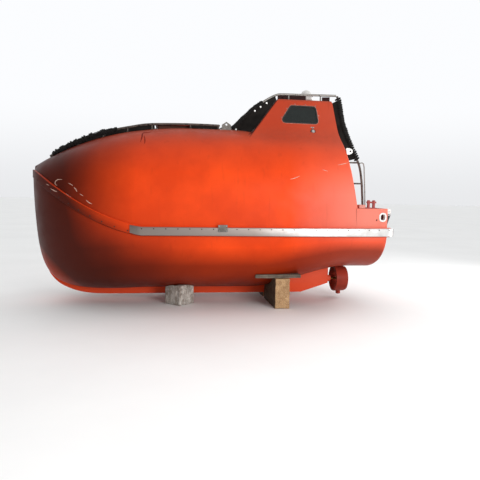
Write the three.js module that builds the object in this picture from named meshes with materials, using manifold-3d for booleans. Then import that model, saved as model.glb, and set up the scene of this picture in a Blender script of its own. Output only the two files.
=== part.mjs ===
// Enclosed free-fall lifeboat on its timber chocks, at real size in millimetres.
// +X runs to the bow, +Y to port and +Z up; the ground under the chocks is z = 0.
import * as THREE from "three";
import { mergeVertices } from "three/addons/utils/BufferGeometryUtils.js";
import Module from "manifold-3d";

const wasm = await Module();
wasm.setup();

// Driving dimensions of the hull and canopy
const GAP = 0.4; // clearance kept between mouldings that bolt together
const BOW_START = 950; // the full midbody ends here and the bow begins
const TRANSOM_X = -2440;
const HALF_BEAM = 1060;
const STERN_NARROWING = 110; // how much each side draws in from NARROWS_FROM to the transom
const NARROWS_FROM = -900;
const FLANGE_Z = 1090; // joint between hull and canopy along the midbody
const BOTTOM_Z = 195; // bottom of the round hull amidships
const BOTTOM_RISE = 318; // how much the bottom rises towards the transom
const RISE_FROM = -600;
const RISE_LENGTH = 1500;
const TRANSOM_POWER = 2.25; // how boxy the sections become at the transom; 2 is an ellipse
const BOXY_FROM = -1300;
const CROWN_Z = 2510;
const HULL_WALL = 45;
const CANOPY_WALL = 30;
const KEEL_Z = 86;
const KEEL_HALF = 50;

// Raked aft bulkhead: x = BULKHEAD_X + BULKHEAD_RAKE * (z - BULKHEAD_Z)
const BULKHEAD_X = -1965;
const BULKHEAD_Z = 1450;
const BULKHEAD_RAKE = 0.172;
const bulkheadX = (z) => BULKHEAD_X + BULKHEAD_RAKE * (z - BULKHEAD_Z);

// Steering tower: sides lean in, front is raked aft
const ROOF_Z = 2935;
const TOWER_FOOT_Z = 2050;
const SIDE_Y = 590; // half width where z is SIDE_Z
const SIDE_Z = 2420;
const SIDE_LEAN = 0.173;
const FRONT_X = -538; // front face where z is FRONT_Z
const FRONT_Z = 2432;
const FRONT_RAKE = 0.7405;
const towerY = (z) => SIDE_Y - SIDE_LEAN * (z - SIDE_Z);
const towerFrontX = (z) => FRONT_X - FRONT_RAKE * (z - FRONT_Z);

// Aft well behind the bulkhead
const BULWARK_TOP = 1420;
const BULWARK_WALL = 40;
const AFT_DECK_TOP = 1135;
const WELL_FROM = -1950;

// Small helpers
const V = (x, y, z) => new THREE.Vector3(x, y, z);
const lerp = THREE.MathUtils.lerp;
const clamp = THREE.MathUtils.clamp;
const rad = THREE.MathUtils.degToRad;

// A closed geometry as a solid that faces outwards; matrix places it first.
function solid(geometry, matrix) {
  const plain = geometry.index ? geometry.toNonIndexed() : geometry.clone();
  for (const name of Object.keys(plain.attributes)) {
    if (name !== "position") plain.deleteAttribute(name);
  }
  if (matrix) plain.applyMatrix4(matrix);
  const merged = mergeVertices(plain, 1e-3);
  const index = merged.index.array;
  const build = (turned) => {
    const triangles = [];
    for (let i = 0; i < index.length; i += 3) {
      const [a, b, c] = [index[i], index[i + 1], index[i + 2]];
      if (a !== b && b !== c && a !== c) triangles.push(a, turned ? c : b, turned ? b : c);
    }
    return new wasm.Manifold(new wasm.Mesh({
      numProp: 3,
      vertProperties: merged.attributes.position.array,
      triVerts: new Uint32Array(triangles),
    }));
  };
  const body = build(false);
  return body.volume() < 0 ? build(true) : body;
}

function geometryOf(body) {
  const mesh = body.getMesh();
  const count = mesh.numProp;
  const points = new Float32Array(mesh.numVert * 3);
  for (let i = 0; i < mesh.numVert; i++) {
    points.set(mesh.vertProperties.subarray(i * count, i * count + 3), i * 3);
  }
  const geometry = new THREE.BufferGeometry();
  geometry.setAttribute("position", new THREE.BufferAttribute(points, 3));
  geometry.setIndex(new THREE.BufferAttribute(new Uint32Array(mesh.triVerts), 1));
  return geometry;
}

const join = (bodies) => bodies.reduce((all, one) => all.add(one));
const cut = (body, tools) => tools.reduce((rest, tool) => rest.subtract(tool), body);
const mirrored = (body) => solid(geometryOf(body), new THREE.Matrix4().makeScale(1, -1, 1));

function box(x0, x1, y0, y1, z0, z1) {
  const geometry = new THREE.BoxGeometry(x1 - x0, y1 - y0, z1 - z0);
  return solid(geometry.translate((x0 + x1) / 2, (y0 + y1) / 2, (z0 + z1) / 2));
}

// Round bar between two points
function rod(from, to, radius, sides = 12) {
  const axis = to.clone().sub(from);
  const turn = new THREE.Quaternion().setFromUnitVectors(V(0, 1, 0), axis.clone().normalize());
  const middle = from.clone().add(to).multiplyScalar(0.5);
  const place = new THREE.Matrix4().compose(middle, turn, V(1, 1, 1));
  return solid(new THREE.CylinderGeometry(radius, radius, axis.length(), sides), place);
}

// Round tube through points, bent smoothly
function pipe(points, radius, steps, sides = 8, tension = 0.5) {
  const path = new THREE.CatmullRomCurve3(points, false, "catmullrom", tension);
  const ring = new THREE.Shape();
  for (let i = 0; i < sides; i++) {
    const angle = (2 * Math.PI * i) / sides;
    const [x, y] = [radius * Math.cos(angle), radius * Math.sin(angle)];
    if (i === 0) ring.moveTo(x, y);
    else ring.lineTo(x, y);
  }
  ring.closePath();
  return solid(new THREE.ExtrudeGeometry(ring, { steps, extrudePath: path, bevelEnabled: false }));
}

// Outline in the plane of a face, pushed out along its normal from one depth to another
function slab(face, outline, from, to) {
  const shape = new THREE.Shape(outline.map(([u, v]) => new THREE.Vector2(u, v)));
  const geometry = new THREE.ExtrudeGeometry(shape, { depth: to - from, bevelEnabled: false });
  geometry.translate(0, 0, from);
  const place = new THREE.Matrix4().makeBasis(face.u, face.v, face.n).setPosition(face.origin);
  return solid(geometry, place);
}

const rectangle = (u0, u1, v0, v1) => [[u0, v0], [u1, v0], [u1, v1], [u0, v1]];

// Rectangle with its corners cut off at 45 degrees
function chamfered(u0, u1, v0, v1, c) {
  return [
    [u0 + c, v0], [u1 - c, v0], [u1, v0 + c], [u1, v1 - c],
    [u1 - c, v1], [u0 + c, v1], [u0, v1 - c], [u0, v0 + c],
  ];
}

function face(origin, u, v) {
  const [a, b] = [u.clone().normalize(), v.clone().normalize()];
  return { origin, u: a, v: b, n: a.clone().cross(b) };
}

const bulkheadFace = face(V(BULKHEAD_X, 0, BULKHEAD_Z), V(0, -1, 0), V(BULKHEAD_RAKE, 0, 1));
const towerFrontFace = face(V(FRONT_X, 0, FRONT_Z), V(0, 1, 0), V(-FRONT_RAKE, 0, 1));
const towerSideFace = face(V(0, SIDE_Y, SIDE_Z), V(-1, 0, 0), V(0, -SIDE_LEAN, 1));

// Bow curves: flange seen in plan and profile, stem and crown in profile
const FLANGE_TIP_X = 2496;
const FLANGE_TIP_Z = 1800;
const flangeBow = new THREE.CubicBezierCurve3(
  V(BOW_START, HALF_BEAM, FLANGE_Z), V(1770, HALF_BEAM, 1210),
  V(2490, 480, 1935), V(FLANGE_TIP_X, 0, FLANGE_TIP_Z),
);
const stemBow = new THREE.CubicBezierCurve3(
  V(BOW_START, 0, BOTTOM_Z), V(2500, 0, 100), V(2400, 0, 320), V(2508, 0, 1740),
);
const crownBow = new THREE.CubicBezierCurve3(
  V(BOW_START, 0, 2465), V(1600, 0, 2395), V(2160, 0, 2130), V(2480, 0, 1925),
);

function halfBeamAt(x) {
  const t = clamp((NARROWS_FROM - x) / (NARROWS_FROM - TRANSOM_X), 0, 1);
  return HALF_BEAM - STERN_NARROWING * t * t;
}

function bottomAt(x) {
  return BOTTOM_Z + BOTTOM_RISE * THREE.MathUtils.smoothstep(-x, -RISE_FROM, RISE_LENGTH - RISE_FROM);
}

// Normals that point out of the boat, for moving a curve inwards by the wall thickness
const outInPlan = (tangent) => V(-tangent.y, tangent.x, 0).normalize();
const outInProfile = (tangent, up) => V(-tangent.z * up, 0, tangent.x * up).normalize();

// One section runs from the flange point to the keel or crown point as a quarter superellipse.
function bowSection(t, inset, upper) {
  const edgeOut = outInPlan(flangeBow.getTangent(t));
  const edge = flangeBow.getPoint(t).sub(edgeOut.multiplyScalar(inset));
  const curve = upper ? crownBow : stemBow;
  const out = outInProfile(curve.getTangent(t), upper ? 1 : -1);
  const centre = curve.getPoint(t).sub(out.multiplyScalar(inset));
  edge.y = Math.max(edge.y, 0);
  return { edge, centre, power: upper ? lerp(2.9, 2.0, t) : lerp(2.0, 1.7, t) };
}

function hullAftSection(x, inset) {
  return {
    edge: V(x, halfBeamAt(x) - inset, FLANGE_Z),
    centre: V(x, 0, bottomAt(x) + inset),
    power: lerp(2.0, TRANSOM_POWER, clamp((BOXY_FROM - x) / (BOXY_FROM - TRANSOM_X), 0, 1)),
  };
}

// The canopy's sections lean with the bulkhead as they near it.
function canopyAftSection(s, inset) {
  const edgeX = lerp(BOW_START, bulkheadX(FLANGE_Z), s);
  const centreX = lerp(BOW_START, bulkheadX(CROWN_Z), s);
  const settle = 1 - Math.min(1, 4 * s);
  return {
    edge: V(edgeX, halfBeamAt(edgeX) - inset, FLANGE_Z),
    centre: V(centreX, 0, CROWN_Z - 45 * settle * settle - inset),
    power: lerp(2.9, 3.2, s),
  };
}

function sectionPoints({ edge, centre, power }, quarterSteps, edgeShift) {
  const half = [];
  for (let j = 0; j <= quarterSteps; j++) {
    const angle = (Math.PI / 2) * (j / quarterSteps);
    const across = j === quarterSteps ? 0 : Math.cos(angle) ** (2 / power);
    const along = Math.sin(angle) ** (2 / power);
    half.push(V(
      lerp(edge.x, centre.x, along),
      edge.y * across,
      lerp(edge.z + edgeShift, centre.z, along),
    ));
  }
  const other = half.slice(0, -1).reverse().map((p) => V(p.x, -p.y, p.z));
  return [...half, ...other];
}

// Skin over a row of sections, closed between the two flange edges and at both ends
function loft(rings) {
  const triangles = [];
  const add = (a, b, c) => triangles.push(a, b, c);
  for (let i = 0; i + 1 < rings.length; i++) {
    const [near, far] = [rings[i], rings[i + 1]];
    for (let j = 0; j < near.length; j++) {
      const k = (j + 1) % near.length;
      if (j < (near.length - 1) / 2) {
        add(near[j], near[k], far[k]);
        add(near[j], far[k], far[j]);
      } else {
        // The starboard half splits its quads the other way, so both sides are mirror images.
        add(near[j], near[k], far[j]);
        add(near[k], far[k], far[j]);
      }
    }
  }
  for (const [ring, last] of [[rings[0], false], [rings.at(-1), true]]) {
    for (let j = 1; j + 1 < ring.length; j++) {
      if (last) add(ring[0], ring[j], ring[j + 1]);
      else add(ring[0], ring[j + 1], ring[j]);
    }
  }
  const points = new Float32Array(triangles.flatMap((p) => [p.x, p.y, p.z]));
  const geometry = new THREE.BufferGeometry();
  geometry.setAttribute("position", new THREE.BufferAttribute(points, 3));
  return solid(geometry);
}

const INSIDE_SHIFT = 40; // the hull's hollow runs this far past its rim
const QUARTER_STEPS = 8;
const BOW_STEPS = 8;
const HULL_AFT_X = [-2340, -2240, -2120, -1850, -1530, -1180, -830, -480, -130, 230, 590];
const CANOPY_AFT_STEPS = 8;

// Small radius round the transom's edge: x of a section and how far it is drawn in
const TRANSOM_EDGE = [
  { x: TRANSOM_X, inset: 45 },
  { x: TRANSOM_X + 12, inset: 16 },
  { x: TRANSOM_X + 45, inset: 0 },
];

function hullLoft(inset, edgeShift) {
  const rings = [];
  for (const { x, inset: round } of TRANSOM_EDGE) {
    rings.push(sectionPoints(hullAftSection(x, inset + round), QUARTER_STEPS, edgeShift));
  }
  for (const x of HULL_AFT_X) {
    rings.push(sectionPoints(hullAftSection(x, inset), QUARTER_STEPS, edgeShift));
  }
  for (let i = 0; i <= BOW_STEPS; i++) {
    rings.push(sectionPoints(bowSection(i / BOW_STEPS, inset, false), QUARTER_STEPS, edgeShift));
  }
  return loft(rings);
}

function canopyLoft(inset, edgeShift) {
  const rings = [];
  for (let i = CANOPY_AFT_STEPS; i > 0; i--) {
    const section = canopyAftSection(i / CANOPY_AFT_STEPS, inset);
    rings.push(sectionPoints(section, QUARTER_STEPS, edgeShift));
  }
  for (let i = 0; i <= BOW_STEPS; i++) {
    rings.push(sectionPoints(bowSection(i / BOW_STEPS, inset, true), QUARTER_STEPS, edgeShift));
  }
  return loft(rings);
}

// Keel bar and skeg below the round hull
const SKEG_AFT_X = -1885;
const SKEG_FOOT_Z = 226;
const SKEG_RISE_FROM = -1450;
const SHAFT_Z = 295;
const STERN_TUBE_END = -1932;

function keelBar(grow = 0) {
  const profile = [
    [SKEG_AFT_X, bottomAt(SKEG_AFT_X) + 15], [SKEG_AFT_X, SKEG_FOOT_Z], [SKEG_RISE_FROM, KEEL_Z],
    [1450, KEEL_Z], [1690, 96], [1900, 134], [2080, 205], [2200, 290], [2290, 410], [2335, 540],
    [2290, 620], [2100, 420], [1800, 260], [900, 230], [-400, 225], [-1000, 320], [-1500, 470],
  ];
  const sideOn = face(V(0, 0, 0), V(-1, 0, 0), V(0, 0, 1));
  const outline = profile.map(([x, z]) => [-x, z]);
  return slab(sideOn, outline, -KEEL_HALF - grow, KEEL_HALF + grow);
}

const NOZZLE_X = -2070; // steering axis of the nozzle
const NOZZLE_BOSS_Z = 504; // underside of the bearing boss in the hull

function hullBody() {
  const sternTube = rod(V(STERN_TUBE_END, 0, SHAFT_Z), V(SKEG_AFT_X + 120, 0, SHAFT_Z), 50, 16);
  const boss = rod(V(NOZZLE_X, 0, NOZZLE_BOSS_Z), V(NOZZLE_X, 0, bottomAt(NOZZLE_X) + 20), 55, 16);
  const outside = join([hullLoft(0, -GAP / 2), keelBar(), sternTube, boss]);
  const inside = hullLoft(HULL_WALL, INSIDE_SHIFT).intersect(
    box(TRANSOM_X + HULL_WALL, 3000, -1500, 1500, 0, 2500),
  );
  return outside.subtract(inside);
}

// Tower prism; inset draws its faces in by the wall thickness
function towerPrism(inset) {
  const corner = (z, aft) => {
    const x = aft ? bulkheadX(z) : towerFrontX(z) - inset * 1.25;
    const y = towerY(z) - inset;
    return [V(x, y, z), V(x, -y, z)];
  };
  const [top, foot] = [ROOF_Z - inset, TOWER_FOOT_Z];
  const [[ap, as], [bp, bs], [cp, cs], [dp, ds]] = [
    corner(foot, true), corner(foot, false), corner(top, false), corner(top, true),
  ];
  const quads = [
    [ap, as, bs, bp], [dp, cp, cs, ds], [ap, bp, cp, dp], [as, ds, cs, bs], [bp, bs, cs, cp],
    [ap, dp, ds, as],
  ];
  const points = quads.flatMap(([a, b, c, d]) => [a, b, c, a, c, d]).flatMap((p) => [p.x, p.y, p.z]);
  const geometry = new THREE.BufferGeometry();
  geometry.setAttribute("position", new THREE.BufferAttribute(new Float32Array(points), 3));
  return solid(geometry);
}

// Outline of the aft well seen from above, drawn in by inset
function wellPlan(inset, fromX) {
  const port = [];
  for (const x of [fromX, -2150, -2280, TRANSOM_X + 45]) {
    port.push([x, halfBeamAt(x) - inset]);
  }
  port.push([TRANSOM_X + 14, halfBeamAt(TRANSOM_X) - 14 - inset]);
  port.push([TRANSOM_X + inset, halfBeamAt(TRANSOM_X) - 45 - inset]);
  return [...port, ...port.map(([x, y]) => [x, -y]).reverse()];
}

function wellBlock(inset, z0, z1) {
  const plan = face(V(0, 0, 0), V(1, 0, 0), V(0, 1, 0));
  return slab(plan, wellPlan(inset, WELL_FROM), z0, z1);
}

function wellBody() {
  const outer = wellBlock(0, FLANGE_Z + GAP / 2, BULWARK_TOP);
  return outer.subtract(wellBlock(BULWARK_WALL, AFT_DECK_TOP, BULWARK_TOP + 50));
}

// Side window outline in the tower side face: u runs aft, v up from SIDE_Z
const SIDE_WINDOW = [[945, 185], [1500, 180], [1460, 425], [1100, 430]];
const FRONT_WINDOW = { inner: 40, outer: 410, low: 110, high: 430 };
const DOOR_HOLE = { half: 280, low: 60, high: 930 };
const HATCH = { aft: 280, fore: 760, half: 240 };
const FAIRLEAD = { x: -2345, z: 1300, halfLong: 38, halfHigh: 48 };

const shrink = (outline, by) => {
  const middle = (axis) => outline.reduce((sum, point) => sum + point[axis], 0) / outline.length;
  const [u0, v0] = [middle(0), middle(1)];
  return outline.map(([u, v]) => [u - Math.sign(u - u0) * by, v - Math.sign(v - v0) * by]);
};

const frontWindowOutline = (side) => {
  const { inner, outer, low, high } = FRONT_WINDOW;
  const outline = rectangle(inner, outer, low, high);
  return side > 0 ? outline : outline.map(([u, v]) => [-u, v]).reverse();
};

function fairleadHole() {
  const { x, z, halfLong, halfHigh } = FAIRLEAD;
  const sideOn = face(V(x, 0, z), V(-1, 0, 0), V(0, 0, 1));
  return slab(sideOn, chamfered(-halfLong, halfLong, -halfHigh, halfHigh, 22), 700, 1200);
}

function canopyBody() {
  const outside = join([canopyLoft(0, GAP / 2), towerPrism(0), wellBody()]);
  const ahead = slab(bulkheadFace, rectangle(-1500, 1500, -1500, 2000), -6000, -CANOPY_WALL);
  const inside = canopyLoft(CANOPY_WALL, -60).add(towerPrism(CANOPY_WALL)).intersect(ahead);
  const sideWindow = slab(towerSideFace, SIDE_WINDOW, -80, 40);
  const openings = [
    sideWindow,
    mirrored(sideWindow),
    slab(towerFrontFace, frontWindowOutline(1), -120, 60),
    slab(towerFrontFace, frontWindowOutline(-1), -120, 60),
    slab(bulkheadFace, rectangle(-DOOR_HOLE.half, DOOR_HOLE.half, DOOR_HOLE.low, DOOR_HOLE.high), -90, 60),
    box(HATCH.aft, HATCH.fore, -HATCH.half, HATCH.half, 2300, 2700),
    fairleadHole(),
    mirrored(fairleadHole()),
  ];
  return cut(outside.subtract(inside), openings);
}

// Band round the joint of hull and canopy, and the metal rub rail outside it
const BAND_THICK = 22;
const BAND_HALF = 65;
const BAND_TAPER = { from: 0.7, thick: 0.5, half: 0.75 }; // share of its size that is left at the stem
const RAIL_THICK = 42;
const RAIL_HALF = 55;

// Points of the flange line on the port side, with the direction that faces out
const RAIL_AFT = TRANSOM_X - 25;
const RAIL_BEND_T = 0.06; // the rub rail ends here on the bow curve
const BOW_T = [RAIL_BEND_T, 0.15, 0.25, 0.36, 0.47, 0.58, 0.69, 0.8, 0.9, 1];

function flangeLine(bowPoints) {
  const line = [];
  for (let i = 0; i <= 10; i++) {
    const x = lerp(RAIL_AFT, BOW_START, i / 10);
    const slope = (halfBeamAt(x + 1) - halfBeamAt(x - 1)) / 2;
    line.push({ at: V(x, halfBeamAt(x), FLANGE_Z), out: V(-slope, 1, 0).normalize() });
  }
  for (const t of BOW_T.slice(0, bowPoints)) {
    const taper = clamp((t - BAND_TAPER.from) / (1 - BAND_TAPER.from), 0, 1);
    line.push({ at: flangeBow.getPoint(t), out: outInPlan(flangeBow.getTangent(t)), taper });
  }
  return line;
}

// Strip that follows a line: its section runs out from inner to outer and up by half each way
function strip(line, inner, outer, half) {
  const rings = line.map(({ at, out, taper = 0 }) => {
    const high = half * lerp(1, BAND_TAPER.half, taper);
    const thick = outer * lerp(1, BAND_TAPER.thick, taper);
    return [
      at.clone().addScaledVector(out, inner).add(V(0, 0, -high)),
      at.clone().addScaledVector(out, thick).add(V(0, 0, -high * 0.8)),
      at.clone().addScaledVector(out, thick).add(V(0, 0, high * 0.8)),
      at.clone().addScaledVector(out, inner).add(V(0, 0, high)),
    ];
  });
  return loft(rings);
}

function bandBody() {
  const port = strip(flangeLine(BOW_T.length), -20, BAND_THICK, BAND_HALF);
  const tipHalf = BAND_HALF * BAND_TAPER.half * 0.8;
  const tipX = FLANGE_TIP_X + BAND_THICK * BAND_TAPER.thick;
  const nose = box(2440, tipX, -30, 30, FLANGE_TIP_Z - tipHalf, FLANGE_TIP_Z + tipHalf);
  const clearHull = join([
    hullLoft(-GAP, 0), canopyLoft(-GAP, 0), wellBlock(-GAP, FLANGE_Z, BULWARK_TOP),
    box(-3000, TRANSOM_X, -1500, 1500, 0, 2000),
  ]);
  return join([port, mirrored(port), nose]).subtract(clearHull);
}

function railBody() {
  const rail = strip(flangeLine(1), 0, BAND_THICK + RAIL_THICK, RAIL_HALF);
  const clearBand = strip(flangeLine(BOW_T.length), -200, BAND_THICK + GAP, BAND_HALF + 5);
  return rail.subtract(clearBand);
}

// Clearance bodies: the outside of each moulding grown by the gap, for seating what stands on it
const hullClear = join([hullLoft(-GAP, -GAP / 2), keelBar(GAP)]);
const canopyClear = join([canopyLoft(-GAP, GAP / 2), towerPrism(-GAP)]);
const bulkheadBack = slab(bulkheadFace, rectangle(-1500, 1500, -1500, 2000), -3000, GAP);

// What fills the inside of the hull as far as its wall
const hullInside = hullLoft(HULL_WALL + GAP, INSIDE_SHIFT);

function sternRailBody() {
  const reach = halfBeamAt(TRANSOM_X) - 8;
  return box(RAIL_AFT, TRANSOM_X - GAP, -reach, reach, FLANGE_Z - RAIL_HALF, FLANGE_Z + RAIL_HALF);
}

// Window panes, flush with the outside of the tower
const PANE = { from: -14, to: -4, gap: 0.5 };

const sidePane = () => slab(towerSideFace, shrink(SIDE_WINDOW, PANE.gap), PANE.from, PANE.to);
const frontPane = (side) =>
  slab(towerFrontFace, shrink(frontWindowOutline(side), PANE.gap), PANE.from, PANE.to);

// Aft door: hinged on its port edge, outside the opening in the bulkhead
const DOOR = { half: 305, low: 35, high: 955, inner: 6, outer: 40, chamfer: 60 };
const DOOR_HINGE = { u: -332, depth: 30, radius: 12, knuckle: 60, lug: 50, at: [230, 760] };
const DOOR_WINDOW = { half: 130, low: 640, high: 830 };

function doorPlate() {
  const { half, low, high, inner, outer, chamfer } = DOOR;
  const panel = slab(bulkheadFace, chamfered(-half, half, low, high, chamfer), inner, outer);
  const window = slab(
    bulkheadFace,
    chamfered(-DOOR_WINDOW.half, DOOR_WINDOW.half, DOOR_WINDOW.low, DOOR_WINDOW.high, 40),
    0, 60,
  );
  return panel.subtract(window);
}

const onBulkhead = (u, v, depth) => bulkheadFace.origin.clone()
  .addScaledVector(bulkheadFace.u, u)
  .addScaledVector(bulkheadFace.v, v)
  .addScaledVector(bulkheadFace.n, depth);

function hingePin(v0, v1) {
  const { u, depth, radius } = DOOR_HINGE;
  return rod(onBulkhead(u, v0, depth), onBulkhead(u, v1, depth), radius);
}

function doorBody() {
  const { u, knuckle, at, depth } = DOOR_HINGE;
  const straps = at.flatMap((v) => [
    hingePin(v - knuckle / 2, v + knuckle / 2),
    slab(bulkheadFace, rectangle(u, -200, v - 20, v + 20), depth - 4, DOOR.outer + 6),
  ]);
  return join([doorPlate(), ...straps]);
}

function doorHingesBody() {
  const { u, knuckle, lug, at, depth } = DOOR_HINGE;
  const reach = knuckle / 2 + GAP;
  const lugs = at.flatMap((v) => [
    hingePin(v - reach - lug, v - reach),
    hingePin(v + reach, v + reach + lug),
    slab(bulkheadFace, rectangle(u - 12, u + 12, v - reach - lug, v - reach), 4, depth),
    slab(bulkheadFace, rectangle(u - 12, u + 12, v + reach, v + reach + lug), 4, depth),
  ]);
  const backing = slab(bulkheadFace, rectangle(u - 25, u + 12, at[0] - 110, at[1] + 110), GAP, 8);
  return join([backing, ...lugs]);
}

function doorHandleBody() {
  const grip = rod(onBulkhead(235, 400, 85), onBulkhead(235, 580, 85), 11);
  const legs = [400, 580].map((v) => rod(onBulkhead(235, v, DOOR.outer + GAP), onBulkhead(235, v, 85), 9));
  return join([grip, ...legs]);
}

const doorPane = () => slab(
  bulkheadFace,
  chamfered(
    -DOOR_WINDOW.half + PANE.gap, DOOR_WINDOW.half - PANE.gap,
    DOOR_WINDOW.low + PANE.gap, DOOR_WINDOW.high - PANE.gap, 40,
  ),
  DOOR.inner + 10, DOOR.inner + 22,
);

// Top hatch between the handrails: coaming in the canopy, lid hinged at its fore edge
const COAMING = { wall: 22, low: 2470, high: 2530 };
const LID = { over: 25, low: 2536, high: 2562 };
const LID_HINGE = { x: 812, z: 2550, radius: 11, knuckle: 80, lug: 40 };

function coamingBody() {
  const { aft, fore, half } = HATCH;
  const ring = box(aft + GAP, fore - GAP, -half + GAP, half - GAP, COAMING.low, COAMING.high);
  const { wall } = COAMING;
  return ring.subtract(box(aft + wall, fore - wall, -half + wall, half - wall, 2400, 2600));
}

function lidBody() {
  const { aft, fore, half } = HATCH;
  const { x, z, radius, knuckle } = LID_HINGE;
  const plan = face(V(0, 0, 0), V(1, 0, 0), V(0, 1, 0));
  const { over, low, high } = LID;
  const panel = slab(plan, chamfered(aft - over, fore + over, -half - over, half + over, 50), low, high);
  const hinge = rod(V(x, -knuckle / 2, z), V(x, knuckle / 2, z), radius);
  const strap = box(fore - 120, x, -knuckle / 2 + 5, knuckle / 2 - 5, high - 12, high + 8);
  return join([panel, hinge, strap]);
}

function lidHingeBody() {
  const { x, z, radius, knuckle, lug } = LID_HINGE;
  const start = knuckle / 2 + GAP;
  const lugs = [1, -1].flatMap((side) => [
    rod(V(x, side * start, z), V(x, side * (start + lug), z), radius),
    box(x - 11, x + 11, Math.min(side * start, side * (start + lug)),
      Math.max(side * start, side * (start + lug)), 2400, z),
  ]);
  const foot = box(x - 14, x + 24, -start - lug, start + lug, 2400, 2520);
  return join([foot, ...lugs]).subtract(canopyClear);
}

// Handrails: routes on the port side
const CANOPY_RAIL = [
  [2250, 105, 2066], [2100, 155, 2156], [1950, 205, 2232], [1630, 285, 2364], [1380, 320, 2434],
  [1140, 330, 2487], [860, 330, 2534], [350, 330, 2552], [-60, 330, 2551], [-110, 330, 2546],
];
const CANOPY_POSTS = [
  [2225, 113, 2078], [1850, 232, 2275], [1500, 305, 2400], [1170, 330, 2480], [836, 330, 2535],
  [299, 330, 2550], [-95, 330, 2546],
];
const TOWER_RAIL = [
  [-312, 376, 2440], [-350, 378, 2560], [-480, 390, 2690], [-575, 400, 2790], [-760, 410, 2920],
  [-900, 415, 2995], [-1000, 420, 3012], [-1250, 420, 3016], [-1520, 420, 3022], [-1790, 420, 3026],
];
const AFT_RAIL = [
  [-1808, 420, 3020], [-1838, 440, 2890], [-1868, 490, 2660], [-1925, 570, 2430], [-2003, 640, 2210],
  [-2078, 685, 2030], [-2115, 700, 1830], [-2135, 700, 1640], [-2150, 700, 1400], [-2155, 700, 1136],
];
const RAIL_RADIUS = 16;
const POST_RADIUS = 11;
const POST_SIDES = 6;
const RAIL_STEPS = 20;
const points = (rows) => rows.map(([x, y, z]) => V(x, y, z));

function canopyRailBody() {
  const posts = CANOPY_POSTS.map(([x, y, z]) => rod(V(x, y, z - 200), V(x, y, z), POST_RADIUS, POST_SIDES));
  return join([pipe(points(CANOPY_RAIL), RAIL_RADIUS, RAIL_STEPS, 6), ...posts]).subtract(canopyClear);
}

function towerRailBody() {
  const posts = [
    rod(V(-1090, 420, ROOF_Z - 20), V(-1090, 420, 3012), POST_RADIUS, POST_SIDES),
    rod(V(-1560, 420, ROOF_Z - 20), V(-1560, 420, 3020), POST_RADIUS, POST_SIDES),
    rod(V(-760, 410, 2920), V(-860, 410, 2780), POST_RADIUS, POST_SIDES),
    rod(V(-480, 390, 2690), V(-600, 390, 2590), POST_RADIUS, POST_SIDES),
  ];
  return join([pipe(points(TOWER_RAIL), RAIL_RADIUS, RAIL_STEPS, 6), ...posts]).subtract(canopyClear);
}

function aftRailBody() {
  const brackets = [
    [2890, 440, -1838], [2430, 568, -1925], [2060, 675, -2066], [1765, 700, -2121],
  ].map(([z, y, x]) => rod(V(x, y, z), V(bulkheadX(z) + 100, y - 30, z), POST_RADIUS, POST_SIDES));
  const rail = join([pipe(points(AFT_RAIL), RAIL_RADIUS, RAIL_STEPS, 6), ...brackets]);
  const deck = box(-3000, 0, -1500, 1500, 0, AFT_DECK_TOP + GAP);
  return cut(rail, [bulkheadBack, deck]);
}

// Lifting lug on the canopy: five-sided plate with an eye
function foreLugBody() {
  const y = 350;
  const sideOn = face(V(0, y, 0), V(-1, 0, 0), V(0, 0, 1));
  const plate = slab(sideOn, [[145, 2440], [275, 2440], [275, 2562], [210, 2606], [145, 2562]], -8, 8);
  const foot = box(-280, -140, y - 16, y + 16, 2440, 2530);
  const eye = rod(V(-210, y - 20, 2566), V(-210, y + 20, 2566), 15, 16);
  return cut(plate.add(foot), [eye, canopyClear]);
}

function aftLugBody() {
  const [y, z] = [820, 2204];
  const sideOn = face(V(0, y, 0), V(-1, 0, 0), V(0, 0, 1));
  const outline = [
    [1800, z - 45], [1880, z - 45], [1925, z - 22], [1925, z + 22], [1880, z + 45], [1800, z + 45],
  ];
  const eye = rod(V(-1893, y - 20, z), V(-1893, y + 20, z), 13, 16);
  return cut(slab(sideOn, outline, -8, 8), [eye, bulkheadBack]);
}

// Stern lug: eye plate behind the bulwark with a tapering gusset under it
const STERN_MOST = 2508;

function sternLugBody() {
  const y = 850;
  const sideOn = face(V(0, y, 0), V(-1, 0, 0), V(0, 0, 1));
  const back = -TRANSOM_X + GAP;
  const outline = [
    [back, 1165], [back + 14, 1165], [STERN_MOST, 1335], [STERN_MOST, 1402], [2495, 1415], [back, 1415],
  ];
  const eye = rod(V(-2478, y - 30, 1374), V(-2478, y + 30, 1374), 14, 16);
  return slab(sideOn, outline, -10, 10).subtract(eye);
}

// Bollard on the bulwark: two posts with a bar across
function bollardBody() {
  const y = 940;
  const base = box(-2250, -2100, y - 30, y + 22, BULWARK_TOP + GAP, BULWARK_TOP + 12);
  const posts = [-2215, -2140].map((x) => rod(V(x, y, BULWARK_TOP + 5), V(x, y, 1535), 20, 16));
  const bar = rod(V(-2258, y, 1505), V(-2110, y, 1505), 12, 12);
  return join([base, ...posts, bar]);
}

function stepBody() {
  const tread = box(-2085, -1990, 850, 985, BULWARK_TOP + GAP, 1470);
  return tread.subtract(slab(bulkheadFace, rectangle(-1500, 1500, -1500, 2000), -3000, GAP));
}

function fairleadBody() {
  const { x, z, halfLong, halfHigh } = FAIRLEAD;
  const sideOn = face(V(x, 0, z), V(-1, 0, 0), V(0, 0, 1));
  const outer = chamfered(-halfLong - 17, halfLong + 17, -halfHigh - 17, halfHigh + 17, 38);
  const skin = wellBlock(-GAP, FLANGE_Z, BULWARK_TOP + 10);
  const inner = chamfered(-halfLong, halfLong, -halfHigh, halfHigh, 22);
  return cut(slab(sideOn, outer, 900, halfBeamAt(x) + 14), [skin, slab(sideOn, inner, 700, 1200)]);
}

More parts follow.
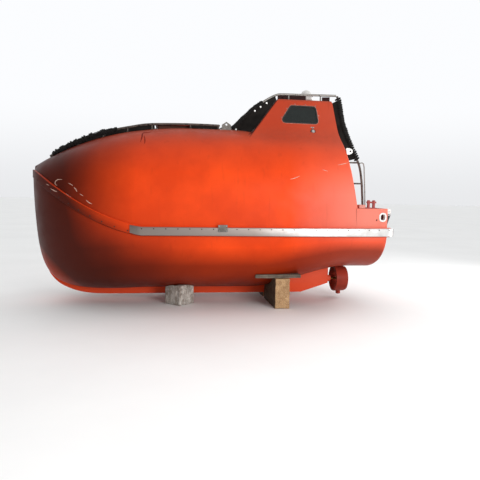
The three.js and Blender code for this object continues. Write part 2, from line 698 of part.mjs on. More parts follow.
const railPlateBody = () => {
  const y = HALF_BEAM + BAND_THICK + RAIL_THICK + GAP;
  return box(-155, -30, y, y + 8, 1088, 1182);
};

// Small lamp on the tower side
function sideLampBody() {
  const u = 1412;
  const base = slab(towerSideFace, chamfered(u - 30, u + 30, 20, 130, 15), GAP, 10).subtract(canopyClear);
  const at = (v, depth) => towerSideFace.origin.clone()
    .addScaledVector(towerSideFace.u, u)
    .addScaledVector(towerSideFace.v, v)
    .addScaledVector(towerSideFace.n, depth);
  const bowl = rod(at(62, 4), at(62, 46), 26, 16);
  return base.add(bowl);
}

// Vent on the roof, turned on its own axis
const VENT_X = -1462;

function ventBody() {
  const base = ROOF_Z + GAP;
  const profile = [
    [0, base], [70, base], [70, base + 12], [48, base + 20], [48, base + 62], [92, base + 70],
    [98, base + 92], [90, base + 150], [62, base + 205], [30, base + 228], [0, base + 232],
  ];
  const lathe = new THREE.LatheGeometry(profile.map(([r, z]) => new THREE.Vector2(r, z)), 14);
  const place = new THREE.Matrix4().makeRotationX(Math.PI / 2).setPosition(VENT_X, 0, 0);
  return solid(lathe, place);
}

// Nozzle that steers round its stock, with the propeller inside
const NOZZLE_PROFILE = [
  [200, 85], [193, 100], [182, 100], [169, 60], [165, 0], [168, -80], [172, -100], [182, -100], [196, -60],
];

function nozzleBody() {
  const closed = [...NOZZLE_PROFILE, NOZZLE_PROFILE[0]];
  const ring = new THREE.LatheGeometry(closed.map(([r, x]) => new THREE.Vector2(r, x)), 20);
  const place = new THREE.Matrix4().makeRotationZ(-Math.PI / 2).setPosition(0, 0, SHAFT_Z);
  const stock = rod(V(0, 0, SHAFT_Z + 180), V(0, 0, NOZZLE_BOSS_Z - GAP), 40, 16);
  const pintle = rod(V(0, 0, SHAFT_Z - 245), V(0, 0, SHAFT_Z - 180), 36, 16);
  const bore = rod(V(-150, 0, SHAFT_Z), V(150, 0, SHAFT_Z), 163, 20);
  return join([solid(ring, place), join([stock, pintle]).subtract(bore)]);
}

const BLADES = 4;

function propellerBody() {
  const shaftEnd = STERN_TUBE_END - NOZZLE_X - GAP;
  const hub = rod(V(-45, 0, 0), V(45, 0, 0), 28, 16);
  const cone = rod(V(-75, 0, 0), V(-40, 0, 0), 18, 16);
  const shaft = rod(V(40, 0, 0), V(shaftEnd, 0, 0), 18, 16);
  const blades = [];
  for (let i = 0; i < BLADES; i++) {
    const place = new THREE.Matrix4().makeRotationX((2 * Math.PI * i) / BLADES)
      .multiply(new THREE.Matrix4().makeTranslation(0, 0, 84))
      .multiply(new THREE.Matrix4().makeRotationZ(rad(32)))
      .multiply(new THREE.Matrix4().makeScale(5, 46, 66));
    blades.push(solid(new THREE.SphereGeometry(1, 8, 6), place));
  }
  return join([hub, cone, shaft, ...blades]);
}

// Inside: floor, benches, engine, helm
const FLOOR = { aft: -900, fore: 1700, low: 480, top: 510 };

const floorBody = () => box(FLOOR.aft, FLOOR.fore, -1500, 1500, FLOOR.low, FLOOR.top).intersect(hullInside);
const benchBody = () => box(-800, 1350, 560, 1500, FLOOR.top + GAP, 900).intersect(hullInside);
const ENGINE = { aft: -1700, fore: -950, half: 260, low: 250, top: 950 };
const engineBody = () =>
  box(ENGINE.aft, ENGINE.fore, -ENGINE.half, ENGINE.half, ENGINE.low, ENGINE.top).intersect(hullInside);

function helmSeatBody() {
  const pedestal = box(-1480, -1300, -90, 90, ENGINE.top + GAP, 1800);
  const seat = box(-1600, -1180, -220, 220, 1780, 1880);
  const back = box(-1600, -1530, -220, 220, 1860, 2380);
  return join([pedestal, seat, back]);
}

const WHEEL = { x: -925, z: 2180, radius: 150, tube: 12 };

function helmConsoleBody() {
  const stand = box(-780, -700, -60, 60, FLOOR.top + GAP, 2080);
  const desk = box(-850, -600, -300, 300, 2060, 2300);
  const column = rod(V(WHEEL.x + 30 + GAP, 0, WHEEL.z), V(-840, 0, WHEEL.z), 22, 16);
  return join([stand, desk, column]);
}

// Wheel turns about its own x axis
function wheelBody() {
  const rim = solid(
    new THREE.TorusGeometry(WHEEL.radius, WHEEL.tube, 6, 20),
    new THREE.Matrix4().makeRotationY(Math.PI / 2),
  );
  const hub = rod(V(-20, 0, 0), V(30, 0, 0), 30, 16);
  const spokes = [90, 210, 330].map((angle) => rod(
    V(0, 0, 0),
    V(0, WHEEL.radius * Math.cos(rad(angle)), WHEEL.radius * Math.sin(rad(angle))),
    8, 8,
  ));
  return join([rim, hub, ...spokes]);
}

// Timbers under the boat: a block on its corner forward, a standing sleeper and a plank aft
const BLOCK = { x: 433, y: 388, side: 300, top: 285 };
const SLEEPER = { aft: -1082, fore: -868, inner: 56, outer: 850, top: 424 };
const PLANK = { aft: -1245, fore: -600, inner: 560, outer: 800, thick: 52 };

function blockBody() {
  const place = new THREE.Matrix4().makeRotationZ(Math.PI / 4).setPosition(BLOCK.x, BLOCK.y, BLOCK.top / 2);
  return solid(new THREE.BoxGeometry(BLOCK.side, BLOCK.side, BLOCK.top), place).subtract(hullClear);
}

function sleeperBody() {
  const { aft, fore, inner, outer, top } = SLEEPER;
  return box(aft, fore, inner, outer, 0, top).subtract(hullClear);
}

function plankBody() {
  const { aft, fore, inner, outer, thick } = PLANK;
  const low = SLEEPER.top + GAP;
  return box(aft, fore, inner, outer, low, low + thick).subtract(hullClear);
}

// Finishes
const finishes = {
  orange: { color: 0xd9481f, roughness: 0.4, metalness: 0 },
  darkRed: { color: 0x7a1f18, roughness: 0.6, metalness: 0 },
  steel: { color: 0xb9bcbd, roughness: 0.35, metalness: 1 },
  rail: { color: 0x4a4542, roughness: 0.7, metalness: 0.4 },
  white: { color: 0xe8e8e4, roughness: 0.4, metalness: 0 },
  glass: { color: 0x2b2d2c, roughness: 0.1, metalness: 0 },
  bronze: { color: 0x8d6a35, roughness: 0.4, metalness: 1 },
  wood: { color: 0x8a6a3e, roughness: 0.9, metalness: 0 },
  liner: { color: 0xc9c4b4, roughness: 0.7, metalness: 0 },
  black: { color: 0x1a1a1a, roughness: 0.8, metalness: 0 },
};

const group = new THREE.Group();

// A named group at a place; what moves is modelled about its own axis inside one
function frame(x, y, z) {
  const child = new THREE.Group();
  child.position.set(x, y, z);
  group.add(child);
  return child;
}

function add(name, body, finish, parent = group) {
  const mesh = new THREE.Mesh(geometryOf(body), new THREE.MeshStandardMaterial(finishes[finish]));
  mesh.name = name;
  parent.add(mesh);
}

// The port piece and its mirror image
function addPair(name, body, finish) {
  add(`${name}_port`, body, finish);
  add(`${name}_starboard`, mirrored(body), finish);
}

add("hull", hullBody(), "orange");
add("canopy", canopyBody(), "orange");
add("gunwale_band", bandBody(), "orange");
add("rub_rail_stern", sternRailBody(), "steel");
add("aft_door", doorBody(), "orange");
add("door_window", doorPane(), "glass");
add("door_handle", doorHandleBody(), "steel");
add("door_hinges", doorHingesBody(), "steel");
add("hatch_coaming", coamingBody(), "orange");
add("top_hatch", lidBody(), "orange");
add("hatch_hinge", lidHingeBody(), "steel");
add("roof_vent", ventBody(), "white");
add("cabin_floor", floorBody(), "liner");
add("engine_block", engineBody(), "darkRed");
add("helm_seat", helmSeatBody(), "black");
add("helm_console", helmConsoleBody(), "liner");
add("nozzle", nozzleBody(), "darkRed", frame(NOZZLE_X, 0, 0));
add("propeller", propellerBody(), "bronze", frame(NOZZLE_X, 0, SHAFT_Z));
add("steering_wheel", wheelBody(), "black", frame(WHEEL.x, 0, WHEEL.z));

for (const [name, body, finish] of [
  ["rub_rail", railBody(), "steel"],
  ["rail_plate", railPlateBody(), "steel"],
  ["side_window", sidePane(), "glass"],
  ["front_window", frontPane(1), "glass"],
  ["side_lamp", sideLampBody(), "steel"],
  ["canopy_rail", canopyRailBody(), "rail"],
  ["tower_rail", towerRailBody(), "rail"],
  ["aft_rail", aftRailBody(), "rail"],
  ["fore_lug", foreLugBody(), "steel"],
  ["aft_lug", aftLugBody(), "white"],
  ["stern_lug", sternLugBody(), "white"],
  ["bollard", bollardBody(), "darkRed"],
  ["step", stepBody(), "orange"],
  ["fairlead", fairleadBody(), "white"],
  ["bench", benchBody(), "liner"],
  ["chock_block", blockBody(), "wood"],
  ["chock_sleeper", sleeperBody(), "wood"],
  ["chock_plank", plankBody(), "wood"],
]) {
  addPair(name, body, finish);
}

export default group;
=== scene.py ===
# %% [markdown]
# # An enclosed lifeboat on its timber chocks
#
# The boat is a glass-fibre hull and canopy that are bolted together along a flange. A steering tower
# stands aft, cord-bound handrails run over the top, a steel rub rail runs along the join, and the
# whole boat rests on old timbers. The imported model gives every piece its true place. This lesson
# builds the fine surfaces, the fastenings and the finishes around it, one piece at a time.
#
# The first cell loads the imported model. Its pieces are called nodes, and each moves with a body.

import math

import bmesh
import bpy
import numpy as np
from mathutils import Matrix, Vector
from mathutils.bvhtree import BVHTree
from mathutils.noise import fractal


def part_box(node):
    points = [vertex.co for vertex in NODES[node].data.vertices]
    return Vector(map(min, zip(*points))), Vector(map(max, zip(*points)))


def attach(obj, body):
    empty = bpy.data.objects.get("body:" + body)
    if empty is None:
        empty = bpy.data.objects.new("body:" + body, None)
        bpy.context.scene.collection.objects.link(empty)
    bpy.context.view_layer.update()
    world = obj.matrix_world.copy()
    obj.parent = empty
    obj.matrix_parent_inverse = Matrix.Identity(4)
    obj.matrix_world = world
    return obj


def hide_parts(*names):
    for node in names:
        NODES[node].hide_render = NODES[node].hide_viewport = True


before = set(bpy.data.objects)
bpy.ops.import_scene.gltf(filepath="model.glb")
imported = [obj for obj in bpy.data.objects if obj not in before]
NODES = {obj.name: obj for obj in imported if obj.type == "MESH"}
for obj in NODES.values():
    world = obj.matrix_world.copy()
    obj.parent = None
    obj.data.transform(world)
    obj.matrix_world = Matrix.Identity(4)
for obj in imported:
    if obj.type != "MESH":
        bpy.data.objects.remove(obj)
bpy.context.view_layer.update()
SCENE = bpy.context.scene

# %% [markdown]
# ## The camera
#
# The picture was taken from a standing person's eye height, about eight metres away on the port side.
# A camera can be aimed with an empty as its target, but here its three axes are worked out from a
# heading, a tilt and a small roll, so that the numbers can be read and changed one at a time.

# %% Camera
EYE = Vector((0.7115, 8.0, 1.6))
HEADING, TILT, ROLL = (math.radians(a) for a in (8.541, 5.042, 1.1))
FOCAL_PIXELS, PICTURE_PIXELS, SENSOR = 532.70, 480, 36.0

forward = Vector((
    -math.sin(HEADING) * math.cos(TILT), -math.cos(HEADING) * math.cos(TILT), -math.sin(TILT),
))
level = Vector((-math.cos(HEADING), math.sin(HEADING), 0.0))
upright = level.cross(forward)
right = level * math.cos(ROLL) + upright * math.sin(ROLL)
up = upright * math.cos(ROLL) - level * math.sin(ROLL)

lens = bpy.data.cameras.new("camera")
lens.sensor_width = SENSOR
lens.lens = FOCAL_PIXELS / PICTURE_PIXELS * SENSOR
lens.clip_end = 100
camera = bpy.data.objects.new("camera", lens)
SCENE.collection.objects.link(camera)
camera.matrix_world = Matrix((*zip(right, up, -forward, EYE), (0, 0, 0, 1)))
SCENE.camera = camera
print("camera at", tuple(EYE), "lens", round(lens.lens, 2), "mm")

# %% [markdown]
# ## Helpers for node trees
#
# Colours are written as the hex values that a picture editor shows. Blender works in linear light, so
# one function converts them. Another adds a node with its settings and links in one line. A recipe
# is a material in the making: its methods are the few patterns that every finish is mixed from.

# %% Node helpers
def colour(code):
    """The linear colour of an sRGB hex value."""
    parts = [int(code[i:i + 2], 16) / 255 for i in (1, 3, 5)]
    return (*[p / 12.92 if p <= 0.04045 else ((p + 0.055) / 1.055) ** 2.4 for p in parts], 1.0)


def feed(tree, node, inputs):
    """Sets each input to a value, a hex colour or the socket that feeds it."""
    for name, value in inputs.items():
        if isinstance(value, bpy.types.NodeSocket):
            tree.links.new(value, node.inputs[name])
        else:
            node.inputs[name].default_value = colour(value) if str(value).startswith("#") else value


def put(tree, kind, inputs=None, **settings):
    """Adds one node to a tree."""
    found = tree.nodes.new(kind)
    for name, value in settings.items():
        setattr(found, name, value)
    feed(tree, found, inputs or {})
    return found


def maths(tree, operation, first, *others):
    """Arithmetic on two or more values, one step after another."""
    for second in others:
        first = put(tree, "ShaderNodeMath", {0: first, 1: second}, operation=operation).outputs[0]
    return first


def ramp(tree, value, low, high, to_low=0.0, to_high=1.0, kind="LINEAR"):
    """Turns value between low and high into to_low to to_high, without going past either."""
    return put(tree, "ShaderNodeMapRange", {
        "Value": value, "From Min": low, "From Max": high, "To Min": to_low, "To Max": to_high,
    }, clamp=True, interpolation_type=kind).outputs["Result"]


def axes(tree, vector):
    return put(tree, "ShaderNodeSeparateXYZ", {"Vector": vector}).outputs


MIX_SHARE, MIX_FIRST, MIX_SECOND, MIXED = 0, 6, 7, 2


class Recipe:
    """A material that is mixed from patterns on the piece's own Object coordinates."""

    def __init__(self, name, slot):
        self.material = bpy.data.materials.new(name)
        self.material.use_nodes = True
        self.tree = self.material.node_tree
        self.tree.nodes.clear()
        self.shader = put(self.tree, "ShaderNodeBsdfPrincipled")
        put(self.tree, "ShaderNodeOutputMaterial", {"Surface": self.shader.outputs[0]})
        self.place = put(self.tree, "ShaderNodeTexCoord").outputs["Object"]

    def where(self):
        """The three parts of the place on the piece, in metres."""
        return axes(self.tree, self.place)

    def facing(self):
        """The three parts of the direction that the surface faces."""
        return axes(self.tree, put(self.tree, "ShaderNodeNewGeometry").outputs["Normal"])

    def noise(self, scale, detail=4.0, rough=0.55, stretch=(1, 1, 1)):
        """Noise whose grain is 1 / scale metres, stretched along the axes where stretch is below 1."""
        mapped = put(self.tree, "ShaderNodeMapping", {"Vector": self.place, "Scale": stretch}).outputs[0]
        return put(self.tree, "ShaderNodeTexNoise", {
            "Vector": mapped, "Scale": scale, "Detail": detail, "Roughness": rough,
        }).outputs["Fac"]

    def ramp(self, value, low, high, to_low=0.0, to_high=1.0):
        return ramp(self.tree, value, low, high, to_low, to_high)

    def maths(self, operation, *values):
        return maths(self.tree, operation, *values)

    def product(self, *values):
        return maths(self.tree, "MULTIPLY", *values)

    def opposite(self, value):
        return maths(self.tree, "SUBTRACT", 1.0, value)

    def blend(self, share, first, second):
        """Mixes two colours, each a hex code or a socket, by a share from 0 to 1."""
        return put(self.tree, "ShaderNodeMix", {
            MIX_SHARE: share, MIX_FIRST: first, MIX_SECOND: second,
        }, data_type="RGBA").outputs[MIXED]

    def bump(self, height, metres, strength=1.0):
        """Lets height, from 0 to 1, raise the surface by up to that many metres."""
        found = put(self.tree, "ShaderNodeBump", {
            "Height": height, "Distance": metres, "Strength": strength,
        })
        self.tree.links.new(found.outputs[0], self.shader.inputs["Normal"])

    def done(self, inputs):
        """Feeds the shader and gives the material."""
        feed(self.tree, self.shader, inputs)
        return self.material


print("node helpers ready")

# %% [markdown]
# ## Floor, sky and lamps
#
# A pale floor and a pale sky give soft light from everywhere. One large lamp stands behind the camera
# on the stern's side, and a weaker one behind the stern lights its edges. The bow turns away from
# both, which shades it as in the picture.

# %% Studio
def shown(name, data):
    """A new object in the scene, at the origin."""
    found = bpy.data.objects.new(name, data)
    SCENE.collection.objects.link(found)
    return found


def mesh_object(name, vertices, faces, smooth=True):
    """A new mesh object at the origin, with its place in its vertices."""
    mesh = bpy.data.meshes.new(name)
    mesh.from_pydata([tuple(v) for v in vertices], [], [tuple(f) for f in faces])
    mesh.validate()
    if smooth:
        mesh.shade_smooth()
    return shown(name, mesh)


FLOOR_HALF = 150.0
floor = mesh_object("floor", [
    (x * FLOOR_HALF, y * FLOOR_HALF, 0) for x, y in ((-1, -1), (1, -1), (1, 1), (-1, 1))
], [(0, 1, 2, 3)], smooth=False)


def lamp(name, place, target, size, watts):
    """A square soft lamp that faces a point."""
    light = bpy.data.lights.new(name, "AREA")
    light.shape = "SQUARE"
    light.size = size
    light.energy = watts
    found = shown(name, light)
    found.location = place
    found.rotation_euler = (Vector(target) - Vector(place)).to_track_quat("-Z", "Y").to_euler()


lamp("key", (-4.0, 8.5, 2.6), (-0.4, 0.6, 1.4), 3.5, 395)
lamp("rim", (-7.0, -2.0, 4.0), (-2.0, 0.0, 2.0), 2.0, 120)

# The sky is white behind the boat and overhead. On the camera's side it is dimmer, and dimmest towards
# the bow, so that the bow keeps its shade.
sky = bpy.data.worlds.new("pale sky")
SCENE.world = sky
sky.use_nodes = True
tree = sky.node_tree
way = axes(tree, put(tree, "ShaderNodeTexCoord").outputs["Generated"])


def sky_step(axis, start, end, low, high):
    """A smooth step of the sky's strength along one axis of the direction."""
    return ramp(tree, way[axis], start, end, low, high, "SMOOTHSTEP")


near_side = maths(tree, "MULTIPLY", sky_step("Z", 0.0, 0.2, 0.3, 1.0), sky_step("Y", -0.75, 0.1, 0.0, 1.0),
                  sky_step("X", -0.1, 0.8, 0.55, 0.80))
behind = maths(tree, "SUBTRACT", sky_step("Z", -0.02, 0.16, 0.84, 1.0), near_side)
overhead = sky_step("Z", 0.35, 0.95, 0.0, 0.55)
feed(tree, tree.nodes["Background"], {
    "Strength": maths(tree, "ADD", behind, overhead), "Color": (0.97, 0.98, 1.0, 1),
})
SCENE.view_settings.view_transform = "Standard"
print("two lamps, a floor and a sky")

# %% [markdown]
# ## Orange gelcoat
#
# The shells are glass-fibre laminate under orange gelcoat, a pigmented polyester skin that was sprayed
# into the mould. New gelcoat is glossy. Sun and salt have chalked this one: dust has settled on what
# faces up, the colour is patchy, and the laminate under it is a little wavy from being laid by hand.
# Shade is painted into the colour as well: on the stem, underneath and high up. A painted sheen lies
# in the fade aft, and a painted glow on the forefoot.

# %% Gelcoat
def gelcoat(name, slot, bright, deep, faded, shade_colour, dusty_from=2.15, dusty_to=2.55):
    """faded lies aft: a sun fade with a painted sheen in it. The last colour is painted shade, forward and
    under.
    """
    mix = Recipe(name, slot)
    where, facing = mix.where(), mix.facing()
    skin = mix.blend(mix.ramp(mix.noise(1.6, 5), 0.38, 0.66), deep, bright)
    # Towards the stern the colour fades: partly a real sun fade, partly a painted sheen.
    fade_and_sheen = mix.product(
        mix.ramp(where["X"], -1.0, -2.1, 0.0, 0.82), mix.ramp(where["Z"], 0.95, 1.2, 0.25, 1.0),
        mix.ramp(where["Z"], 1.6, 2.1, 1.0, 0.3),
    )
    skin = mix.blend(fade_and_sheen, skin, faded)
    # Painted shade: the colour darkens with height, over the crown and the tower.
    skin = mix.blend(mix.ramp(where["Z"], 1.85, 2.6, 0.0, 0.66), skin, "#963d2c")
    # Dust lies on what faces up, and more of it near the crown.
    speckle = mix.ramp(mix.noise(14, 6, 0.65), 0.3, 0.7, 0.45, 1.0)
    height = mix.ramp(where["Z"], dusty_from, dusty_to)
    dusty = mix.product(height, mix.ramp(facing["Z"], 0.25, 0.95), speckle)
    skin = mix.blend(mix.product(dusty, 0.7), skin, "#6a473a")
    # Runs of grime down the sides, 60 mm apart
    runs = mix.ramp(mix.noise(16, 3, 0.5, (1, 1, 0.05)), 0.62, 0.8, 0.0, 0.14)
    skin = mix.blend(runs, skin, "#5b2417")
    # Painted shade darkens the stem, the bow, what faces down and the lowest part of the hull.
    below = mix.product(mix.ramp(where["X"], 0.1, 1.4), mix.ramp(facing["Z"], 0.04, -0.28), 0.78)
    unshaded = mix.product(
        mix.ramp(facing["X"], 0.06, 0.52, 1.0, 0.06), mix.ramp(where["X"], 1.5, 2.4, 1.0, 0.25),
        mix.ramp(where["Z"], 0.46, 0.30, 1.0, 0.72), mix.ramp(facing["Z"], -0.28, -0.60, 1.0, 0.36),
        mix.opposite(below),
    )
    skin = mix.blend(mix.opposite(mix.maths("MAXIMUM", unshaded, 0.05)), skin, shade_colour)
    # A painted glow lightens the turn of the forefoot, which lies both far forward and low, and the
    # garboards.
    forefoot = mix.ramp(mix.maths("SUBTRACT", where["X"], where["Z"]), 1.52, 1.84, 0.0, 0.5)
    painted_glow = mix.maths("MAXIMUM", forefoot, mix.ramp(where["Z"], 0.25, 0.15, 0.0, 0.45))
    # Hand-laid laminate is wavy over 150 mm by under a millimetre.
    mix.bump(mix.noise(6, 2, 0.4), 0.0015, 0.5)
    gloss = mix.ramp(mix.noise(5, 5), 0.3, 0.7, 0.34, 0.50)
    return mix.done({
        "Base Color": mix.blend(painted_glow, skin, bright), "Specular IOR Level": 0.09,
        "Roughness": mix.maths("ADD", gloss, mix.product(dusty, 0.3)),
    })


# Each gelcoat's last colour is its painted shade.
ORANGE = gelcoat("orange gelcoat", "orange_gelcoat", "#ee4a16", "#da4013", "#de8676", "#36120b")
# The keel's copy is painted light: lighter than the hull, with a painted shade that is nearly its own colour.
KEEL_ORANGE = gelcoat("washed orange gelcoat", "orange_gelcoat", "#ec5430", "#e64c2a", "#de8676", "#d04824")
# The nozzle lies low, so its dust starts above everything.
DARK_RED = gelcoat("weathered red gelcoat", "dark_red_paint", "#ae4130", "#983628", "#ae4130", "#3a140c",
                   dusty_from=9, dusty_to=10)
print("gelcoats", ORANGE.name, KEEL_ORANGE.name, DARK_RED.name)

# %% [markdown]
# ## Metals
#
# The rub rail is stainless channel: rolled, so it is finely scored along its length, and gone dull.
# Fittings are polished or galvanised steel. The propeller is cast bronze with a thin brown skin.

# %% Metals
def rolled_metal(name, slot, light, dark, rough, grain=(1, 1, 1), scale=60, fore_shade=None):
    """Metal with fine lines; a 4 mm line shows at this distance where real ones are finer. The last
    colour, where given, is painted shade on the fore part, which ends over the metre aft of x = -0.5."""
    mix = Recipe(name, slot)
    lines = mix.noise(scale, 3, 0.6, grain)
    stains = mix.ramp(mix.noise(7, 6, 0.6), 0.35, 0.7)
    shade = mix.blend(mix.product(stains, 0.8), light, dark)
    if fore_shade:
        shade = mix.blend(mix.ramp(mix.where()["X"], -1.5, -0.5), shade, fore_shade)
    mix.bump(lines, 0.0004, 0.3)
    return mix.done({
        "Base Color": shade, "Metallic": 1.0,
        "Roughness": mix.ramp(lines, 0.3, 0.7, rough - 0.08, rough + 0.12),
    })


# The rub rail darkens over its fore part: painted shade.
RAIL_STEEL = rolled_metal("rolled stainless steel", "steel", "#d0cfce", "#a9a6a3", 0.42, (0.02, 1, 1), 240,
                          fore_shade="#8a807a")
FITTING_STEEL = rolled_metal("polished stainless steel", "steel", "#b9b8b6", "#7d7a77", 0.28)
GALVANISED = rolled_metal("dull galvanised steel", "steel", "#7f7a75", "#4c4642", 0.55, scale=50)
BRONZE = rolled_metal("cast bronze", "bronze", "#a9824a", "#6d5330", 0.42, scale=80)
print("metals", RAIL_STEEL.name, FITTING_STEEL.name, GALVANISED.name, BRONZE.name)

# %% [markdown]
# ## Paints
#
# One recipe makes every painted or enamelled surface: an even coat, a slow change of tone, and chips
# where the noise is high. The chips show the worn colour, are duller, and lie a little deeper.

# %% Paints
def painted(name, slot, paint, worn, rough, chips=0.66, wear_scale=22, metal=0.0, shine=0.5):
    """Paint with small chips and dirt; a lower chips gives more of them."""
    mix = Recipe(name, slot)
    dirt = mix.ramp(mix.noise(wear_scale, 6, 0.65), chips, chips + 0.06)
    tone = mix.ramp(mix.noise(4, 3), 0.3, 0.7, 0.0, 0.18)
    mix.bump(mix.opposite(dirt), 0.0004, 0.5)
    return mix.done({
        "Base Color": mix.blend(dirt, mix.blend(tone, paint, worn), worn), "Metallic": metal,
        "Specular IOR Level": shine, "Roughness": mix.ramp(dirt, 0, 1, rough, min(rough + 0.3, 1)),
    })


def dark_footed_enamel(height):
    """White enamel, dark from a height down along a ragged line."""
    mix = Recipe("stained enamel", "white_paint")
    edge = mix.maths("ADD", mix.where()["Z"], mix.ramp(mix.noise(40, 4), 0.3, 0.7, -0.02, 0.02))
    skin = mix.blend(mix.ramp(edge, height, height - 0.015), "#e4e3df", "#2b2523")
    return mix.done({"Base Color": skin, "Roughness": 0.55})


WHITE = painted("white enamel", "white_paint", "#e4e3df", "#8d857b", 0.35)
DARK_FOOTED_WHITE = dark_footed_enamel(1.345)
TUBE = painted("aluminium tube", "rail_tube", "#8f8a85", "#4f4944", 0.42, 0.58, 30, 0.6)
GRIMY_TUBE = painted("grimy aluminium tube", "rail_tube", "#5d524b", "#2f2825", 0.5, 0.52, 30, 0.3)
RUST = painted("rusted steel", "steel", "#33211a", "#1a100d", 0.85)
BOLLARD_RED = painted("red enamel", "dark_red_paint", "#9a3630", "#4d211d", 0.45)
# The coaming is orange gelcoat; this dark brown is painted shade: the coaming lies in shade under the lid.
SHADE_PAINTED_COAMING = painted("shade_painted gelcoat", "orange_gelcoat", "#55352a", "#2c1c16", 0.75, 0.6, 18, shine=0.2)
PINK_STEP = painted("faded red step", "orange_gelcoat", "#cf8274", "#8f4a3c", 0.6)
# The guards' black is partly painted shade in the gaps under the rails, and their light chips are painted
# glints.
GUARD_SHADE_AND_GLINTS = painted("worn rubber guard", "black_plastic", "#0b0807", "#57504b", 0.8, 0.66, 34, shine=0.12)
# Painted shade: the roof is orange, and this dark red is its shade under the roof rail.
ROOF_SHADE_SHEET = painted("maroon panel", "black_plastic", "#2b100d", "#1c0c0b", 0.7, 0.6, 14, shine=0.2)
ENGINE = painted("engine enamel", "dark_red_paint", "#6b7f74", "#2b2724", 0.5)
SCUFF = painted("scuffed gelcoat", "orange_gelcoat", "#cda998", "#96604e", 0.7, 0.56, 60)
CRACK = painted("dirt in a crack", "orange_gelcoat", "#6e1a0c", "#4a1009", 0.85, shine=0.1)
STAIN = painted("rusty stain", "orange_gelcoat", "#94301a", "#7a2413", 0.8, 0.55, 30, shine=0.1)
print("paints", WHITE.name, TUBE.name, RUST.name, GUARD_SHADE_AND_GLINTS.name)

# %% [markdown]
# ## Cord, rubber, plastic, glass and liner
#
# The handrails are bound with black polypropylene cord. The turns themselves are geometry, further
# down, so this finish only adds the strands. Real ones lie 6 mm apart, and these are drawn 14 mm apart
# so that they show.

# %% Soft and small finishes
def strands(name, slot, light, dark):
    """Twisted cord, whose strands are bands of a wave."""
    mix = Recipe(name, slot)
    wave = put(mix.tree, "ShaderNodeTexWave", {
        "Vector": mix.place, "Scale": 26, "Distortion": 6, "Detail": 3,
    }, bands_direction="DIAGONAL").outputs["Fac"]
    mix.bump(wave, 0.0015, 0.6)
    return mix.done({
        "Base Color": mix.blend(mix.ramp(wave, 0.25, 0.8), dark, light), "Roughness": 0.82,
        "Sheen Weight": 0.06, "Specular IOR Level": 0.25,
    })


def moulding(name, slot, base, second, rough, grain, depth, scale):
    """A moulded surface with a fine, even grain."""
    mix = Recipe(name, slot)
    mix.bump(mix.noise(grain, 2), depth, 0.4)
    patch = mix.ramp(mix.noise(scale, 5), 0.35, 0.65)
    return mix.done({"Base Color": mix.blend(patch, base, second), "Roughness": rough})


def tinted_glass(name, slot, tint):
    """Dark acrylic with a few smears."""
    mix = Recipe(name, slot)
    smear = mix.ramp(mix.noise(9, 5, 0.6, (1, 1, 0.4)), 0.35, 0.75, 0.04, 0.2)
    return mix.done({"Base Color": tint, "Roughness": smear, "Transmission Weight": 0.08, "IOR": 1.49})


ROPE = strands("black polypropylene cord", "black_plastic", "#1d1917", "#0a0807")
RUBBER = moulding("black rubber", "black_plastic", "#161514", "#201f1e", 0.7, 500, 0.0003, 12)
PLASTIC = moulding("black moulded plastic", "black_plastic", "#1b1b1b", "#242424", 0.5, 700, 0.0003, 20)
GRIT = moulding("gritted grey deck paint", "black_plastic", "#4b4644", "#37322f", 0.9, 260, 0.0012, 10)
SEALANT = moulding("dusty sealant", "white_paint", "#c98d7c", "#a9604c", 0.7, 300, 0.0003, 30)
LINER = moulding("cream liner", "liner", "#c9c3b2", "#b5ad98", 0.55, 300, 0.0005, 5)
CONSOLE_GREY = moulding("grey console moulding", "liner", "#5c605f", "#4d5150", 0.55, 300, 0.0005, 5)
GLASS = tinted_glass("tinted acrylic", "dark_glass", "#1d2220")
FLOOR_FINISH = moulding("pale studio floor", None, "#f6f6f4", "#f2f2f0", 0.8, 60, 0.0002, 0.6)
floor.data.materials.append(FLOOR_FINISH)
print("finishes", ROPE.name, RUBBER.name, PLASTIC.name, LINER.name, GLASS.name)

# %% [markdown]
# ## Old timber
#
# The chocks are sawn softwood. Left in the weather it turns grey and splits along the grain, and the
# fibres that the saw tore stand up. Growth rings give the end grain its arcs. A light or a dark ring
# is drawn 8 mm wide, coarser than in real pine, so that it shows.

# %% Timber
RING = 0.008


def timber(name, light, mid, dark, along, stained=0.6, side_shade=0.0):
    """The last number is how far the sides that face fore and aft are darkened, as painted shade."""
    mix = Recipe(name, "timber")
    stretch = {"X": (0.06, 1, 1), "Y": (1, 0.06, 1), "Z": (1, 1, 0.06)}[along]
    mapped = put(mix.tree, "ShaderNodeMapping", {"Vector": mix.place, "Scale": stretch}).outputs[0]
    rings = put(mix.tree, "ShaderNodeTexWave", {
        "Vector": mapped, "Scale": 1 / (RING * 6.3), "Distortion": 7, "Detail": 4, "Detail Scale": 1.6,
    }, wave_type="RINGS", rings_direction=along).outputs["Fac"]
    fibre = mix.noise(140, 6, 0.7, stretch)
    stain = mix.ramp(mix.noise(11, 6, 0.65), 0.42, 0.62)
    wood = mix.blend(mix.ramp(fibre, 0.35, 0.7), dark, mix.blend(rings, mid, light))
    wood = mix.blend(mix.product(stain, stained), wood, dark)
    if side_shade:
        # Painted shade: the sides that face fore and aft are darkened nearly to black.
        fore_and_aft = mix.maths("ABSOLUTE", mix.facing()["X"], 0.0)
        wood = mix.blend(mix.ramp(fore_and_aft, 0.5, 0.85, 0.0, side_shade), wood, "#211712")
    mix.bump(mix.maths("ADD", mix.product(rings, 0.4), fibre), 0.003, 0.8)
    return mix.done({"Base Color": wood, "Roughness": 0.88})


BLOCK_WOOD = timber("weathered grey pine", "#fffdf6", "#e9e1d5", "#6f6257", "Z", stained=0.75)
